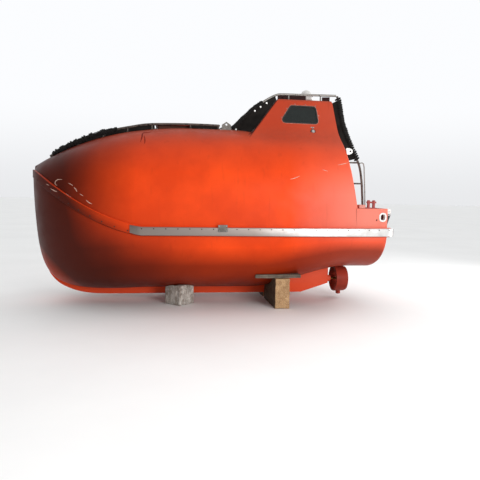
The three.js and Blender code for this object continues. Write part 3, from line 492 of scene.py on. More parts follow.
# The sleeper's dark fore and aft sides are painted shade.
SLEEPER_WOOD = timber("sawn brown pine", "#ffe2b0", "#dcab78", "#7a5432", "Y", side_shade=0.85)
PLANK_WOOD = timber("greyed plank", "#9a8c7c", "#7b6f61", "#453c33", "X")
print("timbers", BLOCK_WOOD.name, SLEEPER_WOOD.name, PLANK_WOOD.name)

# %% [markdown]
# ## Mesh helpers
#
# Most pieces are rings of points: sections along the boat, joined by four-sided faces. The helpers
# below make rings into a mesh, finish a mesh with modifiers and bake those in, and hand a finished
# piece to the frame: which body it moves with and which node it stands for.

# %% Mesh helpers
def grid_faces(rows, columns, closed=False):
    """Faces of a grid of points; closed joins the last column to the first."""
    faces = []
    for i in range(rows - 1):
        for j in range(columns if closed else columns - 1):
            k = (j + 1) % columns
            faces.append((i * columns + j, i * columns + k, (i + 1) * columns + k, (i + 1) * columns + j))
    return faces


def smooth(piece, flat=None):
    """Shades a piece smoothly; edges sharper than flat degrees stay crisp."""
    piece.data.shade_smooth()
    if flat is not None:
        piece.data.set_sharp_from_angle(angle=math.radians(flat))


def tidy(piece, flat=None):
    """Merges doubles and makes the faces point outwards."""
    merge = 1e-5
    work = bmesh.new()
    work.from_mesh(piece.data)
    bmesh.ops.remove_doubles(work, verts=work.verts, dist=merge)
    bmesh.ops.dissolve_degenerate(work, edges=work.edges, dist=merge)
    bmesh.ops.recalc_face_normals(work, faces=work.faces)
    work.to_mesh(piece.data)
    work.free()
    smooth(piece, flat)
    return piece


def bake(piece):
    """Turns a piece with live modifiers into a plain mesh."""
    bpy.context.view_layer.update()
    seen = piece.evaluated_get(bpy.context.evaluated_depsgraph_get())
    mesh = bpy.data.meshes.new_from_object(seen)
    piece.modifiers.clear()
    old = piece.data
    piece.data = mesh
    bpy.data.meshes.remove(old)
    mesh.name = piece.name
    return piece


def modify(piece, kind, **settings):
    """Adds one modifier and bakes it in."""
    modifier = piece.modifiers.new(kind.lower(), kind)
    for name, value in settings.items():
        setattr(modifier, name, value)
    return bake(piece)


def ease_edges(piece, width, segments, angle):
    """Rounds the edges that are sharper than the angle, in degrees."""
    modify(piece, "BEVEL", width=width, segments=segments, limit_method="ANGLE",
           angle_limit=math.radians(angle))


def finish(piece, made, node=None, body="boat", bevel=0.0, segments=2, flat=None):
    """Gives a piece its material and hands it to the frame. node is what it stands for, if anything."""
    if bevel:
        ease_edges(piece, bevel, segments, 35)
        smooth(piece, 50)
        modify(piece, "WEIGHTED_NORMAL", keep_sharp=True)
    elif flat is not None:
        smooth(piece, flat)
    if made.name not in piece.data.materials:
        piece.data.materials.append(made)
    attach(piece, body)
    if node:
        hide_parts(node)
    return piece


def mirrored(piece, name):
    """A copy on the other side of the boat, with its faces still pointing outwards."""
    mesh = piece.data.copy()
    mesh.transform(Matrix.Scale(-1, 4, (0, 1, 0)))
    mesh.flip_normals()
    return shown(name, mesh)


def finish_pair(port, made, node=None, **how):
    """Finishes a port piece and its mirror image. Their names, and their nodes' names, say the side."""
    starboard = mirrored(port, port.name.replace("port", "starboard"))
    finish(port, made, node and f"{node}_port", **how)
    finish(starboard, made, node and f"{node}_starboard", **how)


def joined(name, parts):
    """Several mesh objects as one; the parts are used up."""
    work = bmesh.new()
    for part in parts:
        work.from_mesh(part.data)
    mesh = bpy.data.meshes.new(name)
    work.to_mesh(mesh)
    work.free()
    for material in parts[0].data.materials:
        mesh.materials.append(material)
    for part in parts:
        bpy.data.objects.remove(part)
    return shown(name, mesh)


def cut(piece, cutters):
    """Takes the cutters out of the piece."""
    tool = joined("cutter", cutters)
    modify(piece, "BOOLEAN", operation="DIFFERENCE", object=tool, solver="EXACT", use_self=False)
    bpy.data.objects.remove(tool)
    return piece


def loft(name, rings, flat=None, ends="capped"):
    """Skins a row of closed rings of points, whose ends are capped, joined to each other or left open."""
    count = len(rings[0])
    last = (len(rings) - 1) * count
    faces = grid_faces(len(rings), count, True)
    if ends == "capped":
        faces += [tuple(range(count)), tuple(range(last, last + count))]
    elif ends == "joined":
        faces += [(last + k, last + (k + 1) % count, (k + 1) % count, k) for k in range(count)]
    return tidy(mesh_object(name, [p for ring in rings for p in ring], faces), flat)


def circle(radius, sides=16):
    return [(radius * math.cos(2 * math.pi * k / sides), radius * math.sin(2 * math.pi * k / sides))
            for k in range(sides)]


def catmull(points, per_span=10):
    """A smooth line through the points, with the ends carried on straight."""
    p = [Vector(q) for q in points]
    p = [p[0] * 2 - p[1], *p, p[-1] * 2 - p[-2]]
    line = []
    for i in range(1, len(p) - 2):
        for k in range(per_span):
            t = k / per_span
            line.append(0.5 * (
                2 * p[i] + (p[i + 1] - p[i - 1]) * t
                + (2 * p[i - 1] - 5 * p[i] + 4 * p[i + 1] - p[i + 2]) * t * t
                + (3 * p[i] - p[i - 1] - 3 * p[i + 1] + p[i + 2]) * t ** 3
            ))
    line.append(p[-2])
    return line


def span(line, i):
    """The step from the point before the i-th of a line to the point after it."""
    return line[min(i + 1, len(line) - 1)] - line[max(i - 1, 0)]


def tube(name, points, radius, sides=16):
    """A round tube along a smooth line, whose section turns as little as possible."""
    path = catmull(points)
    rings = []
    side = span(path, 0).normalized().orthogonal()
    for i, point in enumerate(path):
        ahead = span(path, i).normalized()
        side = (side - ahead * side.dot(ahead)).normalized()
        rise = ahead.cross(side)
        rings.append([point + side * a + rise * b for a, b in circle(radius, sides)])
    return loft(name, rings)


def bar(name, start, end, radius, sides=16):
    """A round bar with its rims eased by a sixth of its radius."""
    start, end = Vector(start), Vector(end)
    ahead = (end - start).normalized()
    ease = radius / 6
    side = ahead.orthogonal().normalized()
    other = ahead.cross(side)
    stations = ((start, radius - ease), (start + ahead * ease, radius),
                (end - ahead * ease, radius), (end, radius - ease))
    return loft(name, [[at + side * a + other * b for a, b in circle(r, sides)] for at, r in stations], 40)


def face_axes(origin, u, v):
    """A flat face: its origin, its two directions and its normal. Drawings on it are (u, v)."""
    u, v = Vector(u).normalized(), Vector(v).normalized()
    return {"origin": Vector(origin), "u": u, "v": v, "n": u.cross(v)}


def on_face(face, u, v, depth=0.0):
    return face["origin"] + face["u"] * u + face["v"] * v + face["n"] * depth


def side_on(x=0.0, y=0.0, z=0.0):
    """The face seen from the port side: u runs aft, v up and its normal to port."""
    return face_axes((x, y, z), (-1, 0, 0), (0, 0, 1))


PLAN = face_axes((0, 0, 0), (1, 0, 0), (0, 1, 0))


def plate(name, face, outline, low, high):
    """A flat outline on a face, thick from low to high along its normal."""
    k = len(outline)
    faces = [tuple(range(k)), tuple(range(k, 2 * k))]
    faces += [(i, (i + 1) % k, k + (i + 1) % k, k + i) for i in range(k)]
    points = [on_face(face, a, b, depth) for depth in (low, high) for a, b in outline]
    return tidy(mesh_object(name, points, faces), 30)


def face_bar(name, face, start, end, radius, sides=20):
    """A round bar from one place on a face to another, each given as (u, v, depth)."""
    return bar(name, on_face(face, *start), on_face(face, *end), radius, sides)


def rounded(outline, radius, steps=5):
    """An outline with each corner turned into an arc."""
    made = []
    count = len(outline)
    for i in range(count):
        before, here, after = (Vector(outline[(i + d) % count]) for d in (-1, 0, 1))
        back, ahead = (before - here).normalized(), (after - here).normalized()
        half = back.angle(ahead) / 2
        reach = min(radius / math.tan(half), (before - here).length / 2.01, (after - here).length / 2.01)
        real = reach * math.tan(half)
        centre = here + (back + ahead).normalized() * (real / math.sin(half))
        a, b = here + back * reach - centre, here + ahead * reach - centre
        turn = a.angle_signed(b)
        for k in range(steps + 1):
            t = -turn * k / steps
            made.append(tuple(centre + Vector((
                a.x * math.cos(t) - a.y * math.sin(t), a.x * math.sin(t) + a.y * math.cos(t),
            ))))
    return made


def rectangle(u0, u1, v0, v1, corner=0.0):
    """A rectangle's outline, with rounded corners where a radius is given."""
    outline = [(u0, v0), (u1, v0), (u1, v1), (u0, v1)]
    return rounded(outline, corner) if corner else outline


def offset_outline(outline, by):
    """The outline moved outwards by a distance, or inwards where it is below 0."""
    made = []
    count = len(outline)
    area = sum(outline[i][0] * outline[(i + 1) % count][1] - outline[(i + 1) % count][0] * outline[i][1]
               for i in range(count))
    turn = 1 if area > 0 else -1
    for i in range(count):
        a, b, c = (Vector(outline[(i + d) % count]) for d in (-1, 0, 1))
        e, f = (b - a).normalized(), (c - b).normalized()
        n = Vector((e.y + f.y, -e.x - f.x)).normalized() * turn
        along = max(n.dot(Vector((e.y, -e.x)) * turn), 0.3)
        made.append(tuple(b + n * (by / along)))
    return made


def ring_plate(name, face, outline, inside, outside, low, high):
    """A flat ring that follows an outline, thick from low to high."""
    big, small = offset_outline(outline, outside), offset_outline(outline, inside)
    k = len(big)
    points = [on_face(face, u, v, depth) for depth in (low, high) for line in (big, small) for u, v in line]
    faces = []
    for i in range(k):
        j = (i + 1) % k
        faces.append((i, j, k + j, k + i))
        faces.append((2 * k + i, 3 * k + i, 3 * k + j, 2 * k + j))
        faces.append((i, 2 * k + i, 2 * k + j, j))
        faces.append((k + i, k + j, 3 * k + j, 3 * k + i))
    return tidy(mesh_object(name, points, faces), 30)


def other_side(p):
    """The mirror image of a point or a direction, across the boat's middle."""
    return Vector((p[0], -p[1], p[2]))


print("mesh helpers ready")

# %% [markdown]
# ## The lines of the boat
#
# A mould maker draws a hull as a few curves: the flange seen from above, the stem and keel seen from
# the side, and the crown. Between them each section is a quarter of a superellipse, a curve between
# an ellipse and a box. The frame was made from the same curves, so the fine shells below fit it.

# %% Curves of the shells
BOW_START, TRANSOM, HALF_BEAM, FLANGE = 0.950, -2.440, 1.060, 1.090
BULKHEAD = {"x": -1.965, "z": 1.450, "rake": 0.172}
TOWER = {"y": 0.590, "z": 2.420, "lean": 0.173, "roof": 2.935}
FRONT = {"x": -0.538, "z": 2.432, "rake": -0.7405}
CROWN, BOW_CROWN = 2.510, 2.465
HULL_WALL, CANOPY_WALL, GAP = 0.045, 0.030, 0.0004
STATIONS = 70

FLANGE_BOW = [(BOW_START, HALF_BEAM, FLANGE), (1.77, HALF_BEAM, 1.21), (2.49, 0.48, 1.935), (2.496, 0, 1.80)]
STEM_BOW = [(BOW_START, 0, 0.195), (2.5, 0, 0.1), (2.4, 0, 0.32), (2.508, 0, 1.74)]
CROWN_BOW = [(BOW_START, 0, BOW_CROWN), (1.6, 0, 2.395), (2.16, 0, 2.13), (2.48, 0, 1.925)]


def bezier(points, t):
    a, b, c, d = (np.array(p, float) for p in points)
    return a * (1 - t) ** 3 + 3 * b * t * (1 - t) ** 2 + 3 * c * t * t * (1 - t) + d * t ** 3


def bezier_slope(points, t):
    a, b, c, d = (np.array(p, float) for p in points)
    return 3 * ((b - a) * (1 - t) ** 2 + 2 * (c - b) * t * (1 - t) + (d - c) * t * t)


def half_beam(x):
    """Half the width over the flange, aft of the bow."""
    t = np.clip((-0.9 - x) / 1.54, 0, 1)
    return HALF_BEAM - 0.110 * t * t


def bottom(x):
    """Height of the hull's lowest line, which rises towards the stern."""
    t = np.clip((-0.6 - x) / 1.5, 0, 1)
    return 0.195 + 0.318 * t * t * (3 - 2 * t)


def hull_power(x):
    """How boxy a section of the hull is: 2 is an ellipse, and the transom is fuller."""
    return 2.0 + 0.25 * float(np.clip((-1.3 - x) / 1.14, 0, 1))


def hull_height(x, y):
    """Height of the hull's skin over a point of the ground, aft of the bow."""
    power = hull_power(x)
    share = min(abs(y) / float(half_beam(x)), 1.0)
    return FLANGE - (FLANGE - float(bottom(x))) * (1 - share ** power) ** (1 / power)


def bulkhead_x(z):
    return BULKHEAD["x"] + BULKHEAD["rake"] * (z - BULKHEAD["z"])


def flange_points(to_t=1.0):
    """Points of the port flange from the stern to the bow, each with its outward direction."""
    line = []
    for x in np.linspace(TRANSOM - 0.025, BOW_START, STATIONS, endpoint=False):
        slope = (half_beam(x + 0.001) - half_beam(x - 0.001)) / 0.002
        line.append((Vector((x, half_beam(x), FLANGE)), Vector((-slope, 1, 0)).normalized()))
    for t in np.linspace(0, to_t, max(2, int(STATIONS * to_t) + 1)):
        slope = bezier_slope(FLANGE_BOW, t)
        line.append((Vector(bezier(FLANGE_BOW, t)), Vector((-slope[1], slope[0], 0)).normalized()))
    return line


def whole_section(port):
    """A section from the port edge to the middle, carried on to the starboard edge."""
    return port + [(x, -y, z) for x, y, z in reversed(port[:-1])]


print("flange line from", flange_points()[0][0][:], "to", flange_points()[-1][0][:])

# %% [markdown]
# ## The hull
#
# The hull is one moulding with a wall 45 mm thick. It could be a single surface with a Solidify
# modifier, but a wall that follows the mould's own curves stays clean in the narrow bow, so the inner
# surface is drawn as its own grid and the two are joined at the rim and the transom.

# %% Hull
HULL_COLUMNS = 48
# Each station of the transom's rounded edge, and how far the skin is drawn in there
STERN_EASE = [(-2.440, 0.045), (-2.4385, 0.034), (-2.435, 0.025), (-2.428, 0.016), (-2.414, 0.006)]


def quarter_section(edge, centre, power):
    """A section of the hull from its port edge round the centre to its starboard edge."""
    port = []
    for j in range(HULL_COLUMNS + 1):
        angle = math.pi / 2 * j / HULL_COLUMNS
        across = 0.0 if j == HULL_COLUMNS else math.cos(angle) ** (2 / power)
        along = math.sin(angle) ** (2 / power)
        port.append((
            edge[0] + (centre[0] - edge[0]) * along, edge[1] * across,
            edge[2] + (centre[2] - edge[2]) * along,
        ))
    return whole_section(port)


def hull_rows(inset):
    """Sections from the transom to the stem, drawn in by an inset for the inner surface."""
    rows = []
    stations = STERN_EASE + [(x, 0.0) for x in np.linspace(-2.395, BOW_START, 84, endpoint=False)]
    for x, ease in stations:
        if inset:
            x, ease = max(x, TRANSOM + inset), 0.0
        edge = (x, half_beam(x) - inset - ease, FLANGE - GAP / 2)
        rows.append(quarter_section(edge, (x, 0, bottom(x) + inset + ease), hull_power(x)))
    for t in np.linspace(0, 1, 64):
        slope = bezier_slope(FLANGE_BOW, t)
        out = np.array((-slope[1], slope[0], 0)) / np.hypot(slope[0], slope[1])
        edge = bezier(FLANGE_BOW, t) - out * inset
        edge[1] = max(edge[1], 0)
        slope = bezier_slope(STEM_BOW, t)
        down = np.array((slope[2], 0, -slope[0])) / np.hypot(slope[0], slope[2])
        rows.append(quarter_section(edge, bezier(STEM_BOW, t) - down * inset, 2.0 - 0.3 * t))
    return rows


outer, inner = hull_rows(0.0), hull_rows(HULL_WALL)
width, height = len(outer[0]), len(outer)
within = height * width
faces = grid_faces(height, width)
faces += [tuple(within + v for v in reversed(f)) for f in grid_faces(height, width)]
for i in range(height - 1):
    for j in (0, width - 1):
        a, b = i * width + j, (i + 1) * width + j
        c, d = b + within, a + within
        faces.append((a, b, c, d) if j == 0 else (b, a, d, c))
faces.append(tuple(range(width)))
faces.append(tuple(within + k for k in reversed(range(width))))
# The transom's flat rim between the two surfaces' edges
faces.append((0, width - 1, within + width - 1, within))
hull_shell = tidy(mesh_object("hull_shell", [p for row in outer + inner for p in row], faces), 40)

# %% [markdown]
# Under the shell runs a keel bar that deepens into a skeg ahead of the nozzle. It is drawn from the
# side as one outline, made 100 mm thick, and its edges are eased as a mould needs. The tube for the
# propeller's shaft and the bearing for the nozzle's stock go with it.

# %% Keel, skeg and stern tube
SKEG_AFT, SHAFT_Z, NOZZLE_X = -1.885, 0.295, -2.070
KEEL_Z, KEEL_HALF = 0.086, 0.05
forefoot = [(q.x, q.z) for q in catmull([
    (1.45, 0, KEEL_Z), (1.69, 0, 0.096), (1.9, 0, 0.134), (2.08, 0, 0.205), (2.2, 0, 0.29),
    (2.29, 0, 0.41), (2.335, 0, 0.54),
], 6)]
# The lower edge from the skeg to the forefoot, then the upper edge, which is hidden in the hull
keel_outline = [
    (SKEG_AFT, float(bottom(SKEG_AFT)) + 0.015), (SKEG_AFT, 0.226), (-1.45, KEEL_Z), *forefoot,
    (2.29, 0.62), (2.1, 0.42), (1.8, 0.26), (0.9, 0.23), (-0.4, 0.225), (-1.0, 0.275), (-1.5, 0.425),
]
keel = plate("keel", side_on(), [(-x, z) for x, z in keel_outline], -KEEL_HALF, KEEL_HALF)
ease_edges(keel, 0.012, 3, 40)
stern_tube = bar("stern_tube", (-1.932, 0, SHAFT_Z), (SKEG_AFT + 0.12, 0, SHAFT_Z), 0.05, 32)
boss = bar("boss", (NOZZLE_X, 0, 0.504), (NOZZLE_X, 0, float(bottom(NOZZLE_X)) + 0.02), 0.055, 32)
keel = joined("keel_bar", [keel, stern_tube, boss])
finish(hull_shell, ORANGE, "hull")
finish(keel, KEEL_ORANGE, "hull", flat=40)
print("hull", len(hull_shell.data.polygons), "faces; keel", len(keel.data.polygons))

# %% [markdown]
# ## The canopy and tower
#
# The canopy rises to a crown, and the tower grows out of it: its sides melt into the canopy, while its
# front and roof edges are crisp. A Boolean union would leave a hard crease all round. Here every
# section is measured as rays from the middle of the flange: how far it is to the canopy's skin and
# how far to the tower's. The longer of the two is the surface, and a soft maximum rounds the
# inside corner. The sections fan out, so that one lies along the tower's raked front.

# %% Canopy sections
RAYS = 88
HOLLOW_BLEND, EDGE_BLEND, EDGE_EASE, FOOT_FILLET = 0.20, 0.05, 0.020, 0.035


def softer_min(a, b, k):
    h = np.maximum(k - np.abs(a - b), 0.0)
    return np.minimum(a, b) - h * h / (4 * k)


def softer_max(a, b, k):
    return -softer_min(-a, -b, k)


def canopy_reach(x0, rake, angle):
    """Distance along each ray to the canopy, in the plane x = x0 + rake * (z - FRONT['z'])."""
    reach = np.full_like(angle, 1.3)
    for _ in range(14):
        z = FLANGE + reach * np.sin(angle)
        x = x0 + rake * (z - FRONT["z"])
        s = np.zeros_like(reach)
        for _ in range(3):
            crown = CROWN - 0.045 * (1 - np.minimum(1, 4 * s)) ** 2
            along = (z - FLANGE) / (crown - FLANGE)
            run = (bulkhead_x(FLANGE) - BOW_START) * (1 - along) + (bulkhead_x(CROWN) - BOW_START) * along
            s = np.clip((x - BOW_START) / run, 0, 1.05)
        wide = half_beam(BOW_START + s * (bulkhead_x(FLANGE) - BOW_START))
        power = 2.9 + 0.3 * s
        inside = (np.cos(angle) / wide) ** power + (np.sin(angle) / (crown - FLANGE)) ** power
        reach = inside ** (-1 / power)
    return reach


def tower_reach(angle, ease=0.0):
    """Distance along each ray to the tower's side or roof, drawn in by ease."""
    lean = TOWER["lean"]
    away = TOWER["y"] + lean * (TOWER["z"] - FLANGE) - ease * math.hypot(1, lean)
    side = away / (np.cos(angle) + lean * np.sin(angle))
    roof = (TOWER["roof"] - FLANGE - ease) / np.maximum(np.sin(angle), 0.05)
    return softer_min(side, roof, EDGE_BLEND)


def whole_reach(x0, rake, angle, ease=0.0):
    """Distance along each ray to the canopy or the tower, whichever is outside."""
    return softer_max(canopy_reach(x0, rake, angle), tower_reach(angle, ease), HOLLOW_BLEND)


def eased(depth, radius):
    """How far an eased edge is drawn in at this depth behind the face."""
    depth = min(max(depth, 0.0), radius)
    return radius - math.sqrt(radius ** 2 - (radius - depth) ** 2)


# The rays are spaced evenly along a section through the tower, and closer at its roof's edge.
fine = np.radians(np.linspace(0, 90, 4001))
outline = whole_reach(-1.3, -0.25, fine)
stride = np.hypot(np.diff(outline * np.cos(fine)), np.diff(outline * np.sin(fine)))
corner = math.atan2(TOWER["roof"] - FLANGE, TOWER["y"] - TOWER["lean"] * (TOWER["roof"] - TOWER["z"]))
stride *= 1 + 5 * np.exp(-((fine[1:] - corner) / math.radians(1.3)) ** 2)
run = np.concatenate(([0], np.cumsum(stride)))
ANGLES = np.interp(np.linspace(0, run[-1], RAYS + 1), run, fine)
ANGLES[-1] = math.pi / 2
print("rays", RAYS, "widest step", round(float(np.diff(np.degrees(ANGLES)).max()), 2), "degrees")

# %% [markdown]
# The rows run from the nose to the bulkhead. Forward of the tower the canopy alone counts. A small
# fillet climbs the foot of the tower's front, then the whole front lies between two rows.

# %% Canopy shell
def plane_row(x0, rake, reach):
    """The row of points at these distances along the rays, in one raked plane."""
    z = FLANGE + GAP / 2 + reach * np.sin(ANGLES)
    x = x0 + rake * (z - FRONT["z"])
    y = reach * np.cos(ANGLES)
    y[-1] = 0.0
    return whole_section(list(zip(x, y, z)))


def bow_power(t):
    """How boxy the canopy's section is in the bow; 2 is an ellipse."""
    return 2.9 - 0.9 * t


def nose_row(t):
    """A row in the bow, between its points on the flange and on the crown."""
    edge, centre = bezier(FLANGE_BOW, t), bezier(CROWN_BOW, t)
    power = bow_power(t)
    q = np.arctan2(np.sin(ANGLES) / (BOW_CROWN - FLANGE), np.cos(ANGLES) / HALF_BEAM)
    c, s = np.maximum(np.cos(q), 0), np.sin(q)
    c[-1] = 0.0
    reach = (c ** power + s ** power) ** (-1 / power)
    return whole_section([
        (edge[0] + (centre[0] - edge[0]) * a, edge[1] * r, edge[2] + GAP / 2 + (centre[2] - edge[2]) * a)
        for a, r in zip(reach * s, reach * c)
    ])


# Distances of the rows before the tower's front and behind it
BEFORE = [0.10, 0.075, 0.055, 0.04, 0.03, 0.02, 0.012, 0.006, 0.0]
BEHIND = [0.0, 0.0015, 0.004, 0.008, 0.014, 0.022, 0.034]

rows = [nose_row(t) for t in np.linspace(1, 0, 54)]
rake = FRONT["rake"]
to_depth = 1 / math.hypot(1, rake)
for share in np.linspace(0, 1, 40, endpoint=False)[1:]:
    x0 = BOW_START + share * (FRONT["x"] + 0.12 - BOW_START)
    rows.append(plane_row(x0, rake * share, canopy_reach(x0, rake * share, ANGLES)))
for ahead in BEFORE:
    x0 = FRONT["x"] + ahead
    climb = canopy_reach(x0, rake, ANGLES) + eased(ahead * to_depth, FOOT_FILLET)
    rows.append(plane_row(x0, rake, np.minimum(whole_reach(x0, rake, ANGLES, EDGE_EASE), climb)))
for behind in BEHIND:
    x0 = FRONT["x"] - behind
    rows.append(plane_row(x0, rake, whole_reach(x0, rake, ANGLES, eased(behind * to_depth, EDGE_EASE))))
last_x = bulkhead_x(FRONT["z"])
for share in [*np.linspace(0, 1, 48)[1:-1], 0.985, 0.99, 0.994, 0.997, 0.999, 1.0]:
    x0 = FRONT["x"] - BEHIND[-1] + share * (last_x - FRONT["x"] + BEHIND[-1])
    rake = FRONT["rake"] + share * (BULKHEAD["rake"] - FRONT["rake"])
    ease = eased((x0 - last_x) * 0.985, EDGE_EASE)
    rows.append(plane_row(x0, rake, whole_reach(x0, rake, ANGLES) - ease))
width, height = len(rows[0]), len(rows)
faces = grid_faces(height, width) + [tuple((height - 1) * width + k for k in range(width))]
canopy = tidy(mesh_object("canopy_shell", [p for row in rows for p in row], faces))
if max(canopy.data.polygons, key=lambda f: f.center.z).normal.z < 0:
    canopy.data.flip_normals()
modify(canopy, "SOLIDIFY", thickness=CANOPY_WALL, offset=-1, use_even_offset=False, use_rim=True)
print("canopy", height, "rows of", width, "and", len(canopy.data.polygons), "faces")

# %% [markdown]
# The windows, the door and the hatch are cut out of the laminate with Boolean cutters. Each cutter is
# a flat outline with rounded corners, in the plane of the face that it goes through.

# %% Openings in the canopy
AFT_FACE = face_axes((BULKHEAD["x"], 0, BULKHEAD["z"]), (0, -1, 0), (BULKHEAD["rake"], 0, 1))
FRONT_FACE = face_axes((FRONT["x"], 0, FRONT["z"]), (0, 1, 0), (FRONT["rake"], 0, 1))
SIDE_FACE = face_axes((0, TOWER["y"], TOWER["z"]), (-1, 0, 0), (0, -TOWER["lean"], 1))
SIDE_WINDOW = rounded([(0.945, 0.185), (1.5, 0.18), (1.46, 0.425), (1.1, 0.43)], 0.042)
FRONT_WINDOW = rectangle(0.04, 0.41, 0.11, 0.43, 0.03)
DOOR_HOLE = rectangle(-0.28, 0.28, 0.06, 0.93, 0.07)
HATCH_HOLE = rectangle(0.28, 0.76, -0.24, 0.24, 0.035)

side_cut = plate("cut", SIDE_FACE, SIDE_WINDOW, -0.08, 0.06)
front_cut = plate("cut", FRONT_FACE, FRONT_WINDOW, -0.12, 0.06)
cut(canopy, [
    side_cut, mirrored(side_cut, "cut"), front_cut, mirrored(front_cut, "cut"),
    plate("cut", AFT_FACE, DOOR_HOLE, -0.09, 0.06), plate("cut", PLAN, HATCH_HOLE, 2.3, 2.7),
])
finish(canopy, ORANGE, "canopy", flat=38)
print("canopy with openings", len(canopy.data.polygons), "faces")

# %% [markdown]
# ## The aft well
#
# Behind the bulkhead a bulwark runs round a small deck. It is a wall 40 mm thick with a rounded top,
# so its section is carried along the edge of the deck. Fairleads and drains go through it.

# %% Aft well
WELL_TOP, WELL_WALL, DECK_TOP = 1.420, 0.040, 1.135
WELL_CORNER, WELL_EASE = 0.05, 0.012
FAIRLEAD = {"x": -2.345, "y": 0.95, "z": 1.300}
FAIRLEAD_HOLE = rounded(rectangle(-0.038, 0.038, -0.048, 0.048), 0.036, 6)
DRAIN = {"x": -2.255, "ys": (0.8, 1.1), "z": 1.262, "radius": 0.011}


def strip(name, line, sections):
    """A strip along a line of points and outward directions, with a section for each point. A section
    is closed and its points are (out, up)."""
    return loft(name, [[p + o * a + Vector((0, 0, b)) for a, b in section]
                       for (p, o), section in zip(line, sections)])


def well_outline():
    """The outer edge of the well from the bulkhead round the stern, with outward directions."""
    line = [(Vector((x, half_beam(x), 0)), Vector((0.06, 1, 0)).normalized())
            for x in np.linspace(-1.95, TRANSOM + 0.06, 12)]
    corner = Vector((TRANSOM + WELL_CORNER, half_beam(TRANSOM) - WELL_CORNER, 0))
    for angle in np.linspace(85, 180, 9):
        out = Vector((math.cos(math.radians(angle)), math.sin(math.radians(angle)), 0))
        line.append((corner + out * WELL_CORNER, out))
    return line + [(other_side(p), other_side(o)) for p, o in reversed(line)]


edge = well_outline()
base, shoulder, shave = FLANGE + GAP / 2, WELL_TOP - WELL_EASE, WELL_EASE * 0.3
wall_section = [
    (0, base), (0, shoulder), (-shave, WELL_TOP - shave), (-WELL_EASE, WELL_TOP),
    (-WELL_WALL + WELL_EASE, WELL_TOP), (-WELL_WALL + shave, WELL_TOP - shave),
    (-WELL_WALL, shoulder), (-WELL_WALL, base),
]
bulwark = strip("bulwark", edge, [wall_section] * len(edge))
deck = plate("deck", PLAN, [(p.x - o.x * 0.02, p.y - o.y * 0.02) for p, o in edge], base, DECK_TOP)
holes = []
for side in (1, -1):
    at = side_on(FAIRLEAD["x"], side * FAIRLEAD["y"], FAIRLEAD["z"])
    holes.append(plate("cut", at, FAIRLEAD_HOLE, -0.12, 0.12))
    ends = [(DRAIN["x"], side * y, DRAIN["z"]) for y in DRAIN["ys"]]
    holes.append(bar("cut", *ends, DRAIN["radius"]))
cut(bulwark, holes)
well = joined("aft_well", [bulwark, deck])
finish(well, ORANGE, "canopy", flat=35)
print("aft well", len(well.data.polygons), "faces")

# %% [markdown]
# ## Flange band and rub rail
#
# A band of laminate covers the joint of the two mouldings right round the bow. Outside it a stainless
# channel takes the knocks when the boat lies alongside. Both are sections carried along the flange:
# a strip keeps each section upright and facing outwards, which a plain curve bevel would not.

# %% Band and rub rails
BAND = {"thick": 0.022, "half": 0.065, "taper_from": 0.7, "tip_thick": 0.12, "tip_half": 0.75}
RAIL = {"thick": 0.042, "half": 0.055, "bend_t": 0.06, "ease": 0.007, "worn_over": 0.14}
# How far the rail's inner and outer faces stand off the flange
RAIL_IN, RAIL_OUT = BAND["thick"] + GAP, BAND["thick"] + RAIL["thick"]


def rounded_section(inner, outer, half, ease):
    """A section from inner to outer with eased outer corners."""
    arc = [math.pi / 2 * k / 4 for k in range(5)]
    return [
        (inner, -half),
        *[(outer - ease + ease * math.sin(a), -half + ease - ease * math.cos(a)) for a in arc],
        *[(outer - ease + ease * math.cos(a), half - ease + ease * math.sin(a)) for a in arc],
        (inner, half),
    ]


# The band thins towards the stem: 0 is its full section and 1 the one at the tip.
port_line = flange_points()
bow_shares = np.concatenate((np.zeros(STATIONS), np.linspace(0, 1, len(port_line) - STATIONS)))
tapers = np.clip((bow_shares - BAND["taper_from"]) / (1 - BAND["taper_from"]), 0, 1)
port_sections = [
    rounded_section(
        -0.012, BAND["thick"] * (1 + (BAND["tip_thick"] - 1) * t),
        BAND["half"] * (1 + (BAND["tip_half"] - 1) * t), 0.008 * (1 - 0.4 * t),
    ) for t in tapers
]
whole_line = port_line + [(other_side(p), other_side(o)) for p, o in reversed(port_line[:-1])]
band = strip("gunwale_band_piece", whole_line, port_sections + port_sections[-2::-1])
finish(band, ORANGE, "gunwale_band", flat=35)

# The rub rail's fore end is worn down over its last 140 mm.
rail_line = flange_points(to_t=RAIL["bend_t"])[1:]
ends = [min(1.0, 0.35 + (rail_line[-1][0] - p).length / RAIL["worn_over"]) for p, _ in rail_line]
rub_rail = strip("rub_rail_port_piece", rail_line, [rounded_section(
    RAIL_IN, BAND["thick"] + RAIL["thick"] * t, RAIL["half"] * (0.88 + 0.12 * t), RAIL["ease"],
) for t in ends])
finish_pair(rub_rail, RAIL_STEEL, "rub_rail", flat=35)
low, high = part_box("rub_rail_stern")
stern_line = [(Vector((low.x, y, FLANGE)), Vector((-1, 0, 0))) for y in np.linspace(low.y, high.y, 12)]
stern_section = rounded_section(-(TRANSOM - GAP - low.x), 0.0, RAIL["half"], RAIL["ease"])
stern_rail = strip("rub_rail_stern_piece", stern_line, [stern_section] * len(stern_line))
finish(stern_rail, RAIL_STEEL, "rub_rail_stern", flat=35)
